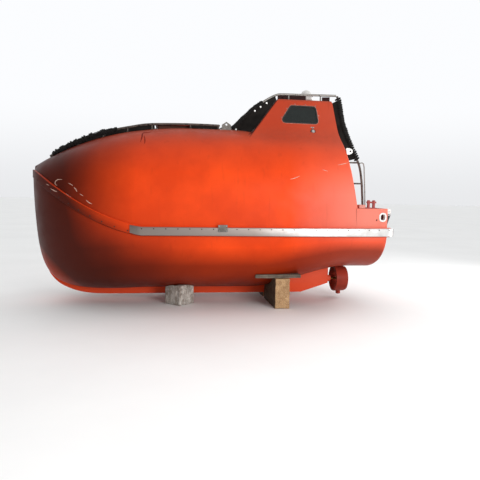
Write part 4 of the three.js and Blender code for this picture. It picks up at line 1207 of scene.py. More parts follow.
# A folded steel cap closes the ends of the band and of the side rails, right across the transom.
CAP_AFT, CAP_CORNER = -2.5005, 0.0185
inner, outer = (float(half_beam(TRANSOM)) + d for d in (RAIL_IN, RAIL_OUT - 0.004))
rail_end = rail_line[0][0].x - 0.0005
cap_half = [(low.x - 0.0003, inner), (rail_end, inner), (rail_end, outer), (CAP_AFT + CAP_CORNER, outer),
            (CAP_AFT, outer - CAP_CORNER)]
cap_outline = cap_half + [(x, -y) for x, y in reversed(cap_half)]
cap = plate("stern_rail_cap", PLAN, rounded(cap_outline, 0.002), FLANGE - RAIL["half"], FLANGE + RAIL["half"])
finish(cap, RAIL_STEEL, bevel=0.006, segments=3)
print("band", len(band.data.polygons), "rails", len(rub_rail.data.polygons), "faces")

# %% [markdown]
# ## Fastenings with Geometry Nodes
#
# Screws and bolts repeat along edges, so a node tree places them: it takes a line whose points carry
# an outward direction, spaces points along it and puts one head on each. One tree serves every row,
# with the spacing, the size, the number of sides and the finish as its inputs.

# %% Fastening tree
def line_tree(name, result, numbers):
    """A new tree that takes a line, numbers and a finish, with the identifiers of its inputs."""
    tree = bpy.data.node_groups.new(name, "GeometryNodeTree")
    names = {}
    for label, kind, value in (("Line", "Geometry", None), *numbers, ("Finish", "Material", None)):
        socket = tree.interface.new_socket(label, in_out="INPUT", socket_type=f"NodeSocket{kind}")
        if value is not None:
            socket.default_value = value
        names[label] = socket.identifier
    tree.interface.new_socket(result, in_out="OUTPUT", socket_type="NodeSocketGeometry")
    return tree, names, put(tree, "NodeGroupInput").outputs


def set_along(tree, given, spacing, thing, direction, turn=None, size=None, smoothly=False):
    """Spaces copies of a thing along the tree's line, its z along a direction, and makes them real."""
    curve = put(tree, "GeometryNodeMeshToCurve", {"Mesh": given["Line"]}).outputs[0]
    points = put(tree, "GeometryNodeResampleCurve", {
        "Curve": curve, "Length": given[spacing],
    }, mode="LENGTH").outputs[0]
    rotation = put(tree, "FunctionNodeAlignRotationToVector", {"Vector": direction}, axis="Z").outputs[0]
    if turn is not None:
        rotation = put(tree, "FunctionNodeRotateRotation", {
            "Rotation": rotation, "Rotate By": turn,
        }, rotation_space="LOCAL").outputs[0]
    inputs = {"Points": points, "Instance": thing, "Rotation": rotation}
    if size is not None:
        inputs["Scale"] = size
    made = put(tree, "GeometryNodeInstanceOnPoints", inputs).outputs[0]
    made = put(tree, "GeometryNodeRealizeInstances", {"Geometry": made}).outputs[0]
    if smoothly:
        made = put(tree, "GeometryNodeSetShadeSmooth", {"Geometry": made}).outputs[0]
    made = put(tree, "GeometryNodeSetMaterial", {"Geometry": made, "Material": given["Finish"]}).outputs[0]
    put(tree, "NodeGroupOutput", {0: made})


def fastening_tree():
    tree, names, given = line_tree("fastenings along a line", "Heads", (
        ("Spacing", "Float", 0.15), ("Head radius", "Float", 0.006), ("Head height", "Float", 0.004),
        ("Sides", "Int", 6),
    ))
    facing = put(tree, "GeometryNodeInputNamedAttribute", {"Name": "facing"},
                 data_type="FLOAT_VECTOR").outputs["Attribute"]
    wide = maths(tree, "MULTIPLY", given["Head radius"], 1.35)
    washer = 14, wide, maths(tree, "MULTIPLY", given["Head height"], 0.3)
    both = put(tree, "GeometryNodeJoinGeometry")
    for sides, radius, depth in ((given["Sides"], given["Head radius"], given["Head height"]), washer):
        disc = put(tree, "GeometryNodeMeshCylinder", {
            "Vertices": sides, "Radius": radius, "Depth": depth,
        }, fill_type="NGON").outputs["Mesh"]
        tree.links.new(disc, both.inputs[0])
    set_along(tree, given, "Spacing", both.outputs[0], facing)
    return tree, names


FASTENINGS = fastening_tree()


def laid_along(name, kit, points, facings, values):
    """Runs a node tree along the points, each with its outward direction, and keeps the plain mesh."""
    mesh = bpy.data.meshes.new(name)
    mesh.from_pydata([tuple(p) for p in points], [(i, i + 1) for i in range(len(points) - 1)], [])
    attribute = mesh.attributes.new("facing", "FLOAT_VECTOR", "POINT")
    attribute.data.foreach_set("vector", [c for f in facings for c in f])
    piece = shown(name, mesh)
    modifier = piece.modifiers.new("nodes", "NODES")
    modifier.node_group, names = kit
    for label, value in values.items():
        modifier[names[label]] = value
    return bake(piece)


def fastenings(name, rows, spacing, radius, height, sides=6, made=FITTING_STEEL, body="boat"):
    """Rows of heads as one piece; each row is a list of points and a list of directions."""
    parts = [laid_along(name, FASTENINGS, points, facings, {
        "Spacing": spacing, "Head radius": radius, "Head height": height, "Sides": sides, "Finish": made,
    }) for points, facings in rows]
    return finish(joined(name, parts), made, body=body, flat=35)


def both_sides(rows):
    """The rows and their mirror images."""
    return rows + [([other_side(p) for p in points], [other_side(f) for f in facings])
                   for points, facings in rows]


def row_along(line, out, rise):
    """A row of fastenings that stands off a line by so much, and above it."""
    return [p + o * out + Vector((0, 0, rise)) for p, o in line], [o for _, o in line]


rail_row = row_along(rail_line[:-4], RAIL_OUT, 0.034)
rail_screws = fastenings("rub_rail_screws", both_sides([rail_row]), spacing=0.148, radius=0.006,
                         height=0.005, sides=12, made=RUST)
bow_row = row_along([(p, o) for p, o in port_line if 1.12 < p.x < 2.44], BAND["thick"], -0.030)
bow_bolts = fastenings("bow_bolts", both_sides([bow_row]), spacing=0.165, radius=0.007, height=0.005,
                       made=RUST)
print("screws", len(rail_screws.data.polygons), "bolts", len(bow_bolts.data.polygons), "faces")

# %% [markdown]
# ## Handrails bound with cord
#
# The rails are tubes on short posts, each post on a round foot. Those over the front of the tower
# stand square to its face, and those behind it are held by brackets on the bulkhead.

# %% Rails
CANOPY_RAIL = [
    (2.25, 0.105, 2.066), (2.1, 0.155, 2.156), (1.95, 0.205, 2.232), (1.63, 0.285, 2.364),
    (1.38, 0.32, 2.434), (1.14, 0.33, 2.487), (0.86, 0.33, 2.534), (0.35, 0.33, 2.552),
    (-0.06, 0.33, 2.551), (-0.11, 0.33, 2.546),
]
CANOPY_POSTS = [
    (2.225, 0.113, 2.078), (1.85, 0.232, 2.275), (1.5, 0.305, 2.4), (1.17, 0.33, 2.48),
    (0.836, 0.33, 2.535), (0.299, 0.33, 2.55), (-0.095, 0.33, 2.546),
]
TOWER_RAIL = [
    (-0.312, 0.376, 2.44), (-0.35, 0.378, 2.56), (-0.48, 0.39, 2.69), (-0.575, 0.4, 2.79),
    (-0.76, 0.41, 2.92), (-0.9, 0.415, 2.995), (-1.0, 0.42, 3.012), (-1.25, 0.42, 3.016),
    (-1.52, 0.42, 3.022), (-1.79, 0.42, 3.026),
]
AFT_RAIL = [
    (-1.808, 0.42, 3.02), (-1.838, 0.44, 2.89), (-1.868, 0.49, 2.66), (-1.925, 0.57, 2.43),
    (-2.003, 0.64, 2.21), (-2.078, 0.685, 2.03), (-2.115, 0.7, 1.83), (-2.135, 0.7, 1.64),
    (-2.15, 0.7, 1.4), (-2.155, 0.7, 1.136),
]
AFT_BRACKETS = [(-1.838, 0.44, 2.89), (-1.925, 0.568, 2.43), (-2.066, 0.675, 2.06), (-2.121, 0.7, 1.765)]
AFT_STAY = [(-2.068, 0.682, 2.052), (-2.140, 0.694, 2.044), (-2.158, 0.70, 1.88), (-2.182, 0.70, 1.50),
            (-2.190, 0.70, DECK_TOP)]
ROOF_RAIL_Y = 0.42
ROOF_POSTS = [(-1.09, 3.012), (-1.56, 3.02)]
TUBE_RADIUS, POST_RADIUS = 0.016, 0.011
# How far a post reaches into the skin
SUNK = 0.004


def canopy_height(x, y):
    """Height of the canopy's skin over a point of the deck."""
    if x > BOW_START:
        best = None
        for t in np.linspace(0, 1, 400):
            edge, centre = bezier(FLANGE_BOW, t), bezier(CROWN_BOW, t)
            if edge[1] <= abs(y):
                break
            power = bow_power(t)
            along = (1 - (abs(y) / edge[1]) ** power) ** (1 / power)
            best = edge[2] + (centre[2] - edge[2]) * along
            if edge[0] + (centre[0] - edge[0]) * along >= x:
                return best
        return best
    angles = np.radians(np.linspace(1, 90, 800))
    reach = canopy_reach(x, 0.0, angles)
    across = reach * np.cos(angles)
    return float(FLANGE + np.interp(abs(y), across[::-1], (reach * np.sin(angles))[::-1]))


def foot(place, out, radius=0.026):
    """A round flange under a post, square to the skin."""
    return bar("foot", Vector(place) - Vector(out) * 0.002, Vector(place) + Vector(out) * 0.007, radius, 20)


def post(skin, end, out, up):
    """A post from just inside the skin to the rail, and its foot. out is the way that the skin faces
    there, and up the way that the post leaves it."""
    skin = Vector(skin)
    return [bar("post", skin - Vector(up) * SUNK, end, POST_RADIUS), foot(skin, out)]


def canopy_rail():
    parts = []
    for x, y, z in CANOPY_POSTS:
        slope = (canopy_height(x + 0.02, y) - canopy_height(x - 0.02, y)) / 0.04
        across = (canopy_height(x, y + 0.02) - canopy_height(x, y - 0.02)) / 0.04
        out = Vector((-slope, -across, 1)).normalized()
        parts += post((x, y, canopy_height(x, y)), (x, y, z), out, (0, 0, 1))
    return parts


def tower_rail():
    parts = []
    for x, z in ROOF_POSTS:
        parts += post((x, ROOF_RAIL_Y, TOWER["roof"]), (x, ROOF_RAIL_Y, z), (0, 0, 1), (0, 0, 1))
    n = FRONT_FACE["n"]
    for start in (TOWER_RAIL[4], TOWER_RAIL[2]):
        skin = Vector(start) - n * (Vector(start) - FRONT_FACE["origin"]).dot(n)
        parts += post(skin, start, n, n)
    return parts


def aft_rail():
    parts = []
    n = AFT_FACE["n"]
    for x, y, z in AFT_BRACKETS:
        parts += post((float(bulkhead_x(z)), y - 0.02, z), (x, y, z), n, n)
    x, y, _ = AFT_RAIL[-1]
    return [*parts, foot((x, y, DECK_TOP), (0, 0, 1))]


for make, line, made in (
    (canopy_rail, CANOPY_RAIL, GRIMY_TUBE), (tower_rail, TOWER_RAIL, TUBE), (aft_rail, AFT_RAIL, GRIMY_TUBE),
):
    node = make.__name__
    port = joined(f"{node}_port_piece", [tube("tube", line, TUBE_RADIUS), *make()])
    finish_pair(port, made, node, flat=40)
# A thin stay runs down beside the aft rail to the deck.
stay = joined("aft_stay_port", [tube("stay", AFT_STAY, 0.008, 12), foot(AFT_STAY[-1], (0, 0, 1), 0.018)])
finish_pair(stay, TUBE, flat=40)
print("six rails and two stays built")

# %% [markdown]
# The forward rails and those around the tower are bound with black cord, close turn by close turn, so
# that a wet hand holds. A second tree lays one ring on each point of the rail, tipped a little as a
# real turn is, and varies its size. Its seed is fixed, so the turns come out the same every time.

# %% Cord tree
def cord_tree():
    tree, names, given = line_tree("turns of cord", "Turns", (
        ("Pitch", "Float", 0.016), ("Inside radius", "Float", TUBE_RADIUS), ("Cord radius", "Float", 0.008),
        ("Tip", "Float", 0.25), ("Seed", "Int", 5),
    ))
    tangent = put(tree, "GeometryNodeInputTangent").outputs[0]
    tip = put(tree, "ShaderNodeCombineXYZ", {"X": given["Tip"]}).outputs[0]
    tip = put(tree, "FunctionNodeEulerToRotation", {"Euler": tip}).outputs[0]
    middle = maths(tree, "ADD", given["Inside radius"], given["Cord radius"])
    ring, section = (put(tree, "GeometryNodeCurvePrimitiveCircle", {
        "Resolution": sides, "Radius": radius,
    }).outputs[0] for sides, radius in ((14, middle), (6, given["Cord radius"])))
    turn = put(tree, "GeometryNodeCurveToMesh", {"Curve": ring, "Profile Curve": section}).outputs[0]
    size = put(tree, "FunctionNodeRandomValue", {
        "Seed": given["Seed"], 2: 0.92, 3: 1.14,
    }, data_type="FLOAT").outputs[1]
    set_along(tree, given, "Pitch", turn, tangent, tip, size, smoothly=True)
    return tree, names


CORD = cord_tree()


def part_of(line, start, end):
    """The part of a line between two shares of its length."""
    length = [0.0]
    for a, b in zip(line, line[1:]):
        length.append(length[-1] + (b - a).length)
    return [p for p, at in zip(line, length) if start * length[-1] <= at <= end * length[-1]]


def bound(name, route, start, end, pitch, cord_radius):
    """Cord bound round a rail from one share of its length to another, on both sides."""
    line = part_of(catmull(route, 24), start, end)
    return finish(joined(name, [laid_along(name, CORD, points, [(0, 0, 1)] * len(points), {
        "Pitch": pitch, "Inside radius": TUBE_RADIUS - 0.001, "Cord radius": cord_radius, "Finish": ROPE,
    }) for points in (line, [other_side(p) for p in line])]), ROPE)


LASHINGS = [0.03, 0.075, 0.13, 0.165, 0.215, 0.26, 0.33]
LASHING_SHARE = 0.022
TOGGLE_XS, TOGGLE_DROP, TOGGLE_LENGTH, TOGGLE_RADIUS = (-0.34, -0.60, -0.68, -0.765), 0.048, 0.040, 0.015

bound("fore_binding", CANOPY_RAIL, 0.02, 0.42, pitch=0.017, cord_radius=0.0085)
bound("tower_binding", TOWER_RAIL, 0.03, 0.36, pitch=0.017, cord_radius=0.0085)
for number, start in enumerate(LASHINGS, 1):
    end = start + LASHING_SHARE
    bound(f"fore_lashing_{number}", CANOPY_RAIL, start, end, pitch=0.024, cord_radius=0.0135)
# Steel toggles stick out through the dark sheets at the tower's front, under the rail.
toggles = []
for x in TOGGLE_XS:
    at = min(catmull(TOWER_RAIL, 24), key=lambda p: abs(p.x - x)) - Vector((0, 0, TOGGLE_DROP))
    for side in (1, -1):
        ends = [(at.x, (at.y + out) * side, at.z) for out in (0.0, TOGGLE_LENGTH)]
        toggles.append(bar("toggle", *ends, TOGGLE_RADIUS))
finish(joined("tower_guard_toggles", toggles), FITTING_STEEL)
bound("aft_binding", AFT_RAIL, 0.02, 0.50, pitch=0.033, cord_radius=0.015)
print("bindings laid")

# %% [markdown]
# ## Windows
#
# Each pane is dark acrylic in a rubber frame, held by small screws. The pane replaces the flat one of
# the frame with the same opening, but with the rounded corners of the real window.

# %% Windows
def replaced_by_mirror(piece):
    other = mirrored(piece, piece.name)
    bpy.data.objects.remove(piece)
    return other


def window(node, face, outline, body="boat", depths=(-0.014, -0.004), mirror=False, screws=0.14,
           sealed=(-0.006, 0.006)):
    """A pane between two depths, its seal between the two of sealed, and screws this far apart."""
    pane = plate(f"{node}_pane", face, offset_outline(outline, -0.0005), *depths)
    seal = ring_plate(f"{node}_seal", face, outline, -0.012, 0.007, *sealed)
    bead = ring_plate(f"{node}_bead", face, outline, 0.0075, 0.0125, sealed[1] - 0.0055, sealed[1] - 0.003)
    edge = offset_outline(outline, 0.024)
    points = [on_face(face, u, v, sealed[1] - 0.005) for u, v in [*edge, edge[0]]]
    facing = face["n"]
    if mirror:
        pane, seal, bead = (replaced_by_mirror(piece) for piece in (pane, seal, bead))
        pane.name, seal.name = f"{node}_pane", f"{node}_seal"
        points, facing = [other_side(p) for p in points], other_side(facing)
    finish(pane, GLASS, node, body, bevel=0.002)
    finish(seal, RUBBER, body=body, bevel=0.002)
    finish(bead, SEALANT, body=body)
    fastenings(f"{node}_screws", [(points, [facing] * len(points))], screws, radius=0.0045, height=0.004,
               sides=10, body=body)


for flip, side in ((False, "port"), (True, "starboard")):
    window(f"side_window_{side}", SIDE_FACE, SIDE_WINDOW, mirror=flip)
    window(f"front_window_{side}", FRONT_FACE, FRONT_WINDOW, mirror=flip, screws=0.12)
print("four windows in the tower")

# %% [markdown]
# ## Guards along the rails, partly painted shade
#
# Dark sheets close the space between each handrail and the boat. Aft of the tower they are moulded
# rubber guards, so that a rope or a foot can't catch there. Along the crown they are such guards, and
# their black is partly painted shade in the gap under the rail. The sheets at the tower's front and on
# its roof are painted shade. Each is drawn between two lines: one along the rail and one along the
# skin. The sheets beside the tower slant out to its edge.

# %% Rail guards
GUARD_THICK, ROOF_SHEET_Y = 0.008, 0.412


def evenly(line, count):
    """The line again, as that many points evenly spaced along it."""
    length = np.concatenate(([0.0], np.cumsum([(b - a).length for a, b in zip(line, line[1:])])))
    steps = np.linspace(0, length[-1], count)
    return [Vector(np.interp(s, length, [p[k] for p in line]) for k in range(3)) for s in steps]


def guard(name, outer, inner, made=GUARD_SHADE_AND_GLINTS, torn=0.0):
    """A sheet between two lines of points, on both sides of the boat. torn is how far its outer edge
    strays, from wear."""
    count = 120 if torn else 60
    outer, inner = evenly(outer, count), evenly(inner, count)
    for i, (a, b) in enumerate(zip(outer, inner)):
        outer[i] = a + (a - b).normalized() * torn * fractal(Vector((i * 0.31, 4.0, 0.0)), 0.6, 2.0, 3)
    rings = []
    for i, (a, b) in enumerate(zip(outer, inner)):
        out = span(outer, i).cross(b - a).normalized() * (GUARD_THICK / 2)
        rings.append([a + out, b + out, b - out, a - out])
    finish_pair(loft(f"{name}_port", rings), made, flat=40)


def over_skin(points, lift=0.001):
    return [Vector((x, y, canopy_height(x, y) + lift)) for x, y in points]


def at_front_edge(z):
    """A point just off the tower's front, 35 mm inboard of its side."""
    x = FRONT["x"] + FRONT["rake"] * (z - FRONT["z"]) + 0.005
    return Vector((x, TOWER["y"] - TOWER["lean"] * (z - TOWER["z"]) - 0.035, z))


# Beside the hatch the rail is left free for a hand.
# The crown's sheets are partly guards and partly painted shade in the gap under the rail.
for name, fore_x, aft_x in (("crown_guard_fore", 3.0, 0.80), ("crown_guard_aft", 0.34, -1.0)):
    crown_line = [p for p in catmull(CANOPY_RAIL, 8) if aft_x < p.x < fore_x]
    crown_skin = over_skin([(p.x, p.y) for p in crown_line])
    crown_top = [Vector((p.x, p.y, max(p.z - 0.004, q.z + 0.002))) for p, q in zip(crown_line, crown_skin)]
    guard(name, crown_top, crown_skin, torn=0.016)
# The sheet at the tower's front is painted shade: it fills the wedge between the rail and the front, which
# lies in shade.
guard("tower_front_shade_sheet", part_of(catmull(TOWER_RAIL, 12), 0.02, 0.48), [
    *over_skin([(-0.345, 0.40), (-0.44, 0.47), (-0.53, 0.53)], 0.004),
    *[at_front_edge(z) for z in (2.52, 2.62, 2.72, 2.82, 2.90, 2.93)],
], torn=0.010)
guard("aft_guard", part_of(catmull(AFT_RAIL, 12), 0.03, 0.50), catmull([
    (float(bulkhead_x(z)) - 0.004, y, z) for z, y in
    ((2.91, 0.475), (2.65, 0.52), (2.44, 0.57), (2.33, 0.645), (2.24, 0.725), (2.15, 0.725), (2.07, 0.695))
], 8))
# The roof sheets are painted shade: they fill the gap under the roof rail, where the roof lies in shade.
for name, x0, x1 in (("roof_guard_fore", -0.93, -1.345), ("roof_shade_sheet_aft", -1.585, -1.70)):
    outer = [Vector((x, ROOF_SHEET_Y, z)) for x, z in ((x0, 2.998), (x1, 3.004))]
    guard(name, outer, [Vector((x, ROOF_SHEET_Y, TOWER["roof"] + 0.001)) for x in (x0, x1)], ROOF_SHADE_SHEET)
print("guards between the rails and the boat")

# %% [markdown]
# ## The aft door
#
# The door is a moulded panel that lies on a rubber seal. Steel straps carry it on two pins. Its pieces
# move with the door's body, while the pin lugs and the seal stay with the boat.

# %% Aft door
DOOR_OUTLINE = rectangle(-0.305, 0.305, 0.035, 0.955, 0.07)
DOOR_GLASS = rectangle(-0.13, 0.13, 0.64, 0.83, 0.035)
HINGE_U, HINGE_DEPTH, HINGE_V = -0.332, 0.030, (0.230, 0.760)
KNUCKLE_HALF, LUG_END = 0.030, 0.080
GRIP_U, GRIP_DEPTH = 0.235, 0.085


def pin(name, low_v, high_v):
    """A round part on the hinge's axis."""
    return face_bar(name, AFT_FACE, (HINGE_U, low_v, HINGE_DEPTH), (HINGE_U, high_v, HINGE_DEPTH), 0.012)


panel = plate("aft_door_piece", AFT_FACE, DOOR_OUTLINE, 0.006, 0.040)
cut(panel, [plate("cut", AFT_FACE, DOOR_GLASS, -0.02, 0.08)])
raised = ring_plate("raised", AFT_FACE, DOOR_OUTLINE, -0.052, -0.034, 0.0385, 0.0440)
finish(joined("aft_door_piece", [panel, raised]), ORANGE, "aft_door", "aft_door", bevel=0.003)
straps, lugs = [], [plate("backing", AFT_FACE, rectangle(-0.357, -0.32, 0.12, 0.87, 0.008), 0.0004, 0.008)]
for v in HINGE_V:
    strap = rectangle(HINGE_U, -0.2, v - 0.02, v + 0.02, 0.009)
    straps.append(plate("strap", AFT_FACE, strap, 0.0402, 0.0455))
    straps.append(pin("knuckle", v - KNUCKLE_HALF, v + KNUCKLE_HALF))
    near, far = KNUCKLE_HALF + GAP, LUG_END + GAP
    for low_v, high_v in ((v - far, v - near), (v + near, v + far)):
        web = rectangle(HINGE_U - 0.011, HINGE_U + 0.011, low_v + 0.001, high_v - 0.001)
        lugs += [pin("lug", low_v, high_v), plate("web", AFT_FACE, web, 0.006, HINGE_DEPTH)]
finish(joined("aft_door_straps", straps), FITTING_STEEL, "aft_door", "aft_door", bevel=0.001)
finish(joined("door_hinges_piece", lugs), FITTING_STEEL, "door_hinges", bevel=0.001)
seal = ring_plate("door_seal", AFT_FACE, DOOR_HOLE, 0.003, 0.016, 0.0002, 0.0056)
finish(seal, RUBBER, bevel=0.0015)
window("door_window", AFT_FACE, DOOR_GLASS, "aft_door", (0.016, 0.028), screws=0.08, sealed=(0.026, 0.0445))
grip = [face_bar("grip", AFT_FACE, (GRIP_U, 0.40, GRIP_DEPTH), (GRIP_U, 0.58, GRIP_DEPTH), 0.011)]
for v in (0.405, 0.575):
    grip.append(face_bar("leg", AFT_FACE, (GRIP_U, v, 0.0404), (GRIP_U, v, GRIP_DEPTH), 0.009))
    grip.append(foot(on_face(AFT_FACE, GRIP_U, v, 0.0424), AFT_FACE["n"], 0.018))
finish(joined("door_handle_piece", grip), FITTING_STEEL, "door_handle", "aft_door")
print("aft door with its straps, seal, window and handle")

# %% [markdown]
# ## The top hatch
#
# The hatch lid lies on a coaming that stands in the crown. A strip of rubber seals it and its top is
# gritted so that a crew member can step on it. The lid turns on a rod at its fore edge.

# %% Top hatch
LID_OUTLINE = rectangle(0.255, 0.785, -0.265, 0.265, 0.05)
ROD_X, ROD_Z, ROD_RADIUS, ROD_HALF = 0.812, 2.550, 0.011, 0.04

coaming = ring_plate("hatch_coaming_piece", PLAN, HATCH_HOLE, -0.0224, -0.0006, 2.470, 2.530)
# Painted shade on the coaming.
finish(coaming, SHADE_PAINTED_COAMING, "hatch_coaming", bevel=0.003)
lid = plate("top_hatch_piece", PLAN, LID_OUTLINE, 2.536, 2.562)
finish(lid, ORANGE, "top_hatch", "top_hatch", bevel=0.006)
tread = plate("top_hatch_tread", PLAN, offset_outline(LID_OUTLINE, -0.028), 2.5615, 2.5640)
finish(tread, GRIT, body="top_hatch", bevel=0.001)
seal = ring_plate("top_hatch_seal", PLAN, HATCH_HOLE, -0.018, -0.004, 2.5306, 2.5365)
finish(seal, RUBBER, body="top_hatch", bevel=0.0015)
strap = [
    plate("strap", PLAN, rectangle(0.64, ROD_X, -0.035, 0.035, 0.012), 2.5605, 2.5690),
    bar("rod", (ROD_X, -ROD_HALF, ROD_Z), (ROD_X, ROD_HALF, ROD_Z), ROD_RADIUS, 20),
]
finish(joined("top_hatch_strap", strap), FITTING_STEEL, "top_hatch", "top_hatch", bevel=0.001)
foot_low = canopy_height(0.836, 0.08) - SUNK
near, far = ROD_HALF + GAP, LUG_END + GAP
hinge = [plate("foot", PLAN, rectangle(0.798, 0.836, -far, far, 0.006), foot_low, 2.520)]
for inner_y, outer_y in ((near, far), (-far, -near)):
    hinge.append(bar("lug", (ROD_X, inner_y, ROD_Z), (ROD_X, outer_y, ROD_Z), ROD_RADIUS, 20))
    hinge.append(plate("cheek", PLAN, rectangle(0.801, 0.823, inner_y + 0.001, outer_y - 0.001), 2.51, ROD_Z))
finish(joined("hatch_hinge_piece", hinge), FITTING_STEEL, "hatch_hinge", bevel=0.001)
print("top hatch on its coaming")

# %% [markdown]
# ## Turned pieces
#
# The roof vent, the nozzle, the propeller's hub and the wheel's rim are each one profile turned round
# an axis. The side lamps are short bars on a plate.

# %% Turned pieces
VENT = (-1.462, 0, 2.9354)
SHAFT = Vector((NOZZLE_X, 0, SHAFT_Z))
LAMP_U, LAMP_V = 1.412, 0.062
WHEEL = Vector((-0.925, 0, 2.180))
BLADE = {"root": 0.022, "tip": 0.1485, "middle": 0.084, "half": 0.066, "chord": 0.046, "thick": 0.0048}


def turned(name, profile, origin, axis="Z", sides=48, closed=False):
    """A profile of (radius, distance along the axis) turned round it; closed makes it a ring."""
    return loft(name, [[
        Vector(origin) + Vector((a, b, along) if axis == "Z" else (along, a, b))
        for a, b in circle(radius, sides)
    ] for radius, along in profile], 35, "joined" if closed else "open")


vent_cap = catmull([
    (0.088, 0.068), (0.097, 0.092), (0.090, 0.15), (0.062, 0.205), (0.030, 0.2275), (0, 0.232),
], 5)
vent = turned("roof_vent_piece", [
    (0, 0), (0.070, 0), (0.070, 0.010), (0.066, 0.012), (0.048, 0.018), (0.048, 0.062),
    *[(max(q.x, 0.0), q.y) for q in vent_cap],
], VENT)
finish(vent, WHITE, "roof_vent")
seal_ring = [(0.0915 + a, 0.135 + b) for a, b in circle(0.006, 10)]
finish(turned("roof_vent_ring", seal_ring, VENT, closed=True), RUBBER)

base = rectangle(LAMP_U - 0.03, LAMP_U + 0.03, 0.02, 0.13, 0.014)
side_lamp = [plate("base", SIDE_FACE, base, 0.0004, 0.010)]
for name, radius, sides, low_v, low, high_v, high in (
    ("bowl", 0.026, 32, LAMP_V, 0.008, LAMP_V, 0.036), ("dome", 0.020, 32, LAMP_V, 0.034, LAMP_V, 0.0455),
    ("arm", 0.008, 16, 0.09, 0.014, 0.122, 0.014),
):
    side_lamp.append(face_bar(name, SIDE_FACE, (LAMP_U, low_v, low), (LAMP_U, high_v, high), radius, sides))
finish_pair(joined("side_lamp_port_piece", side_lamp), FITTING_STEEL, "side_lamp", bevel=0.002)
rim_line = [(LAMP_U + a, LAMP_V - 0.010 + b) for a, b in circle(0.033, 28)]
rim = ring_plate("side_lamp_rim_port", SIDE_FACE, rim_line, -0.006, 0.006, 0.0005, 0.030)
finish_pair(rim, RUST, bevel=0.002)

# The stock above the ring and the pintle below it start inside the ring's wall.
RING_MIDDLE, STOCK_TOP, PINTLE_FOOT = 0.185, 0.5034, 0.050
nozzle = joined("nozzle_piece", [
    turned("ring", [
        (0.200, 0.085), (0.193, 0.100), (0.182, 0.100), (0.169, 0.060), (0.165, 0.0), (0.168, -0.080),
        (0.172, -0.100), (0.182, -0.100), (0.196, -0.060),
    ], SHAFT, "X", 72, closed=True),
    bar("stock", (NOZZLE_X, 0, SHAFT_Z + RING_MIDDLE), (NOZZLE_X, 0, STOCK_TOP), 0.040, 32),
    bar("pintle", (NOZZLE_X, 0, PINTLE_FOOT), (NOZZLE_X, 0, SHAFT_Z - RING_MIDDLE), 0.036, 32),
])
finish(nozzle, DARK_RED, "nozzle", "nozzle", bevel=0.004)


def blade(turn):
    """One propeller blade: an oval in outline, thickest near the hub, its pitch falling to the tip."""
    rings = []
    for radius in np.linspace(BLADE["root"], BLADE["tip"], 22):
        share = (radius - BLADE["middle"]) / BLADE["half"]
        out = (radius - BLADE["root"]) / (BLADE["tip"] - BLADE["root"])
        chord = BLADE["chord"] * math.sqrt(max(1 - share * share, 0.02))
        thick = BLADE["thick"] * (1 - 0.6 * out)
        pitch = math.radians(40 - 16 * out)
        ring = []
        for c, s in circle(1.0, 20):
            across, deep = chord * c, thick * s
            x = -across * math.sin(pitch) + deep * math.cos(pitch)
            y = across * math.cos(pitch) + deep * math.sin(pitch)
            ring.append(Matrix.Rotation(turn, 3, "X") @ Vector((x, y, radius)) + SHAFT)
        rings.append(ring)
    return loft("blade", rings, 50)


hub = turned("hub", [
    (0, -0.075), (0.010, -0.073), (0.018, -0.062), (0.026, -0.046), (0.028, -0.030), (0.028, 0.040),
    (0.026, 0.045), (0.018, 0.0455), (0.018, 0.1370), (0, 0.1370),
], SHAFT, "X", 40)
propeller = joined("propeller_piece", [hub] + [blade(math.pi / 2 * k) for k in range(4)])
finish(propeller, BRONZE, "propeller", "propeller")

wheel = [
    turned("rim", [(0.15 + a, b) for a, b in circle(0.012, 14)], WHEEL, "X", 64, closed=True),
    bar("boss", WHEEL + Vector((-0.02, 0, 0)), WHEEL + Vector((0.03, 0, 0)), 0.030, 32),
]
for angle in (90, 210, 330):
    reach = Vector((0, math.cos(math.radians(angle)), math.sin(math.radians(angle))))
    wheel.append(bar("spoke", WHEEL + reach * 0.02, WHEEL + reach * 0.147, 0.008, 14))
finish(joined("steering_wheel_piece", wheel), PLASTIC, "steering_wheel", "steering_wheel")
print("vent, lamps, nozzle, propeller and wheel")

# %% [markdown]
# ## Lugs, bollards and fairleads
#
# The steel plates with an eye take the hooks of the davit. On the bulwark a bollard, a step and a
# fairlead serve the mooring rope. Most are flat outlines with rounded corners and eased edges.

# %% Deck fittings
BULWARK_TOP = WELL_TOP + GAP
BOLLARD = {"y": 0.94, "cross_z": 1.505, "cross_aft": -2.2575}
RAIL_PLATE_Y = HALF_BEAM + RAIL_OUT + GAP


def box_plate(name, x0, x1, y0, y1, z0, z1, corner=0.01):
    """A box whose upright edges are rounded."""
    return plate(name, PLAN, rectangle(x0, x1, y0, y1, corner), z0, z1)


def eye_plate(name, outline, y, half, eye, radius, corner):
    """A plate seen from the side, its outline given as (distance aft, height), with an eye."""
    x, z = eye
    made = plate(name, side_on(y=y), rounded(outline, corner), -half, half)
    return cut(made, [bar("cut", (x, y - 0.05, z), (x, y + 0.05, z), radius, 28)])


def fore_lug(name):
    body = eye_plate("lug", [(0.145, 2.50), (0.275, 2.50), (0.275, 2.562), (0.21, 2.606), (0.145, 2.562)],
                     0.35, 0.008, (-0.21, 2.566), 0.015, 0.010)
    skin = canopy_height(-0.21, 0.366) - SUNK
    return joined(name, [body, plate("foot", side_on(y=0.35), rectangle(0.14, 0.28, skin, 2.53, 0.006),
                                     -0.016, 0.016)])


def aft_lug(name):
    low_x, high_x = (-float(bulkhead_x(z)) + 0.0006 for z in (2.159, 2.249))
    return eye_plate(name, [(low_x, 2.159), (1.88, 2.159), (1.925, 2.182), (1.925, 2.226), (1.88, 2.249),
                            (high_x, 2.249)], 0.82, 0.008, (-1.893, 2.204), 0.013, 0.010)


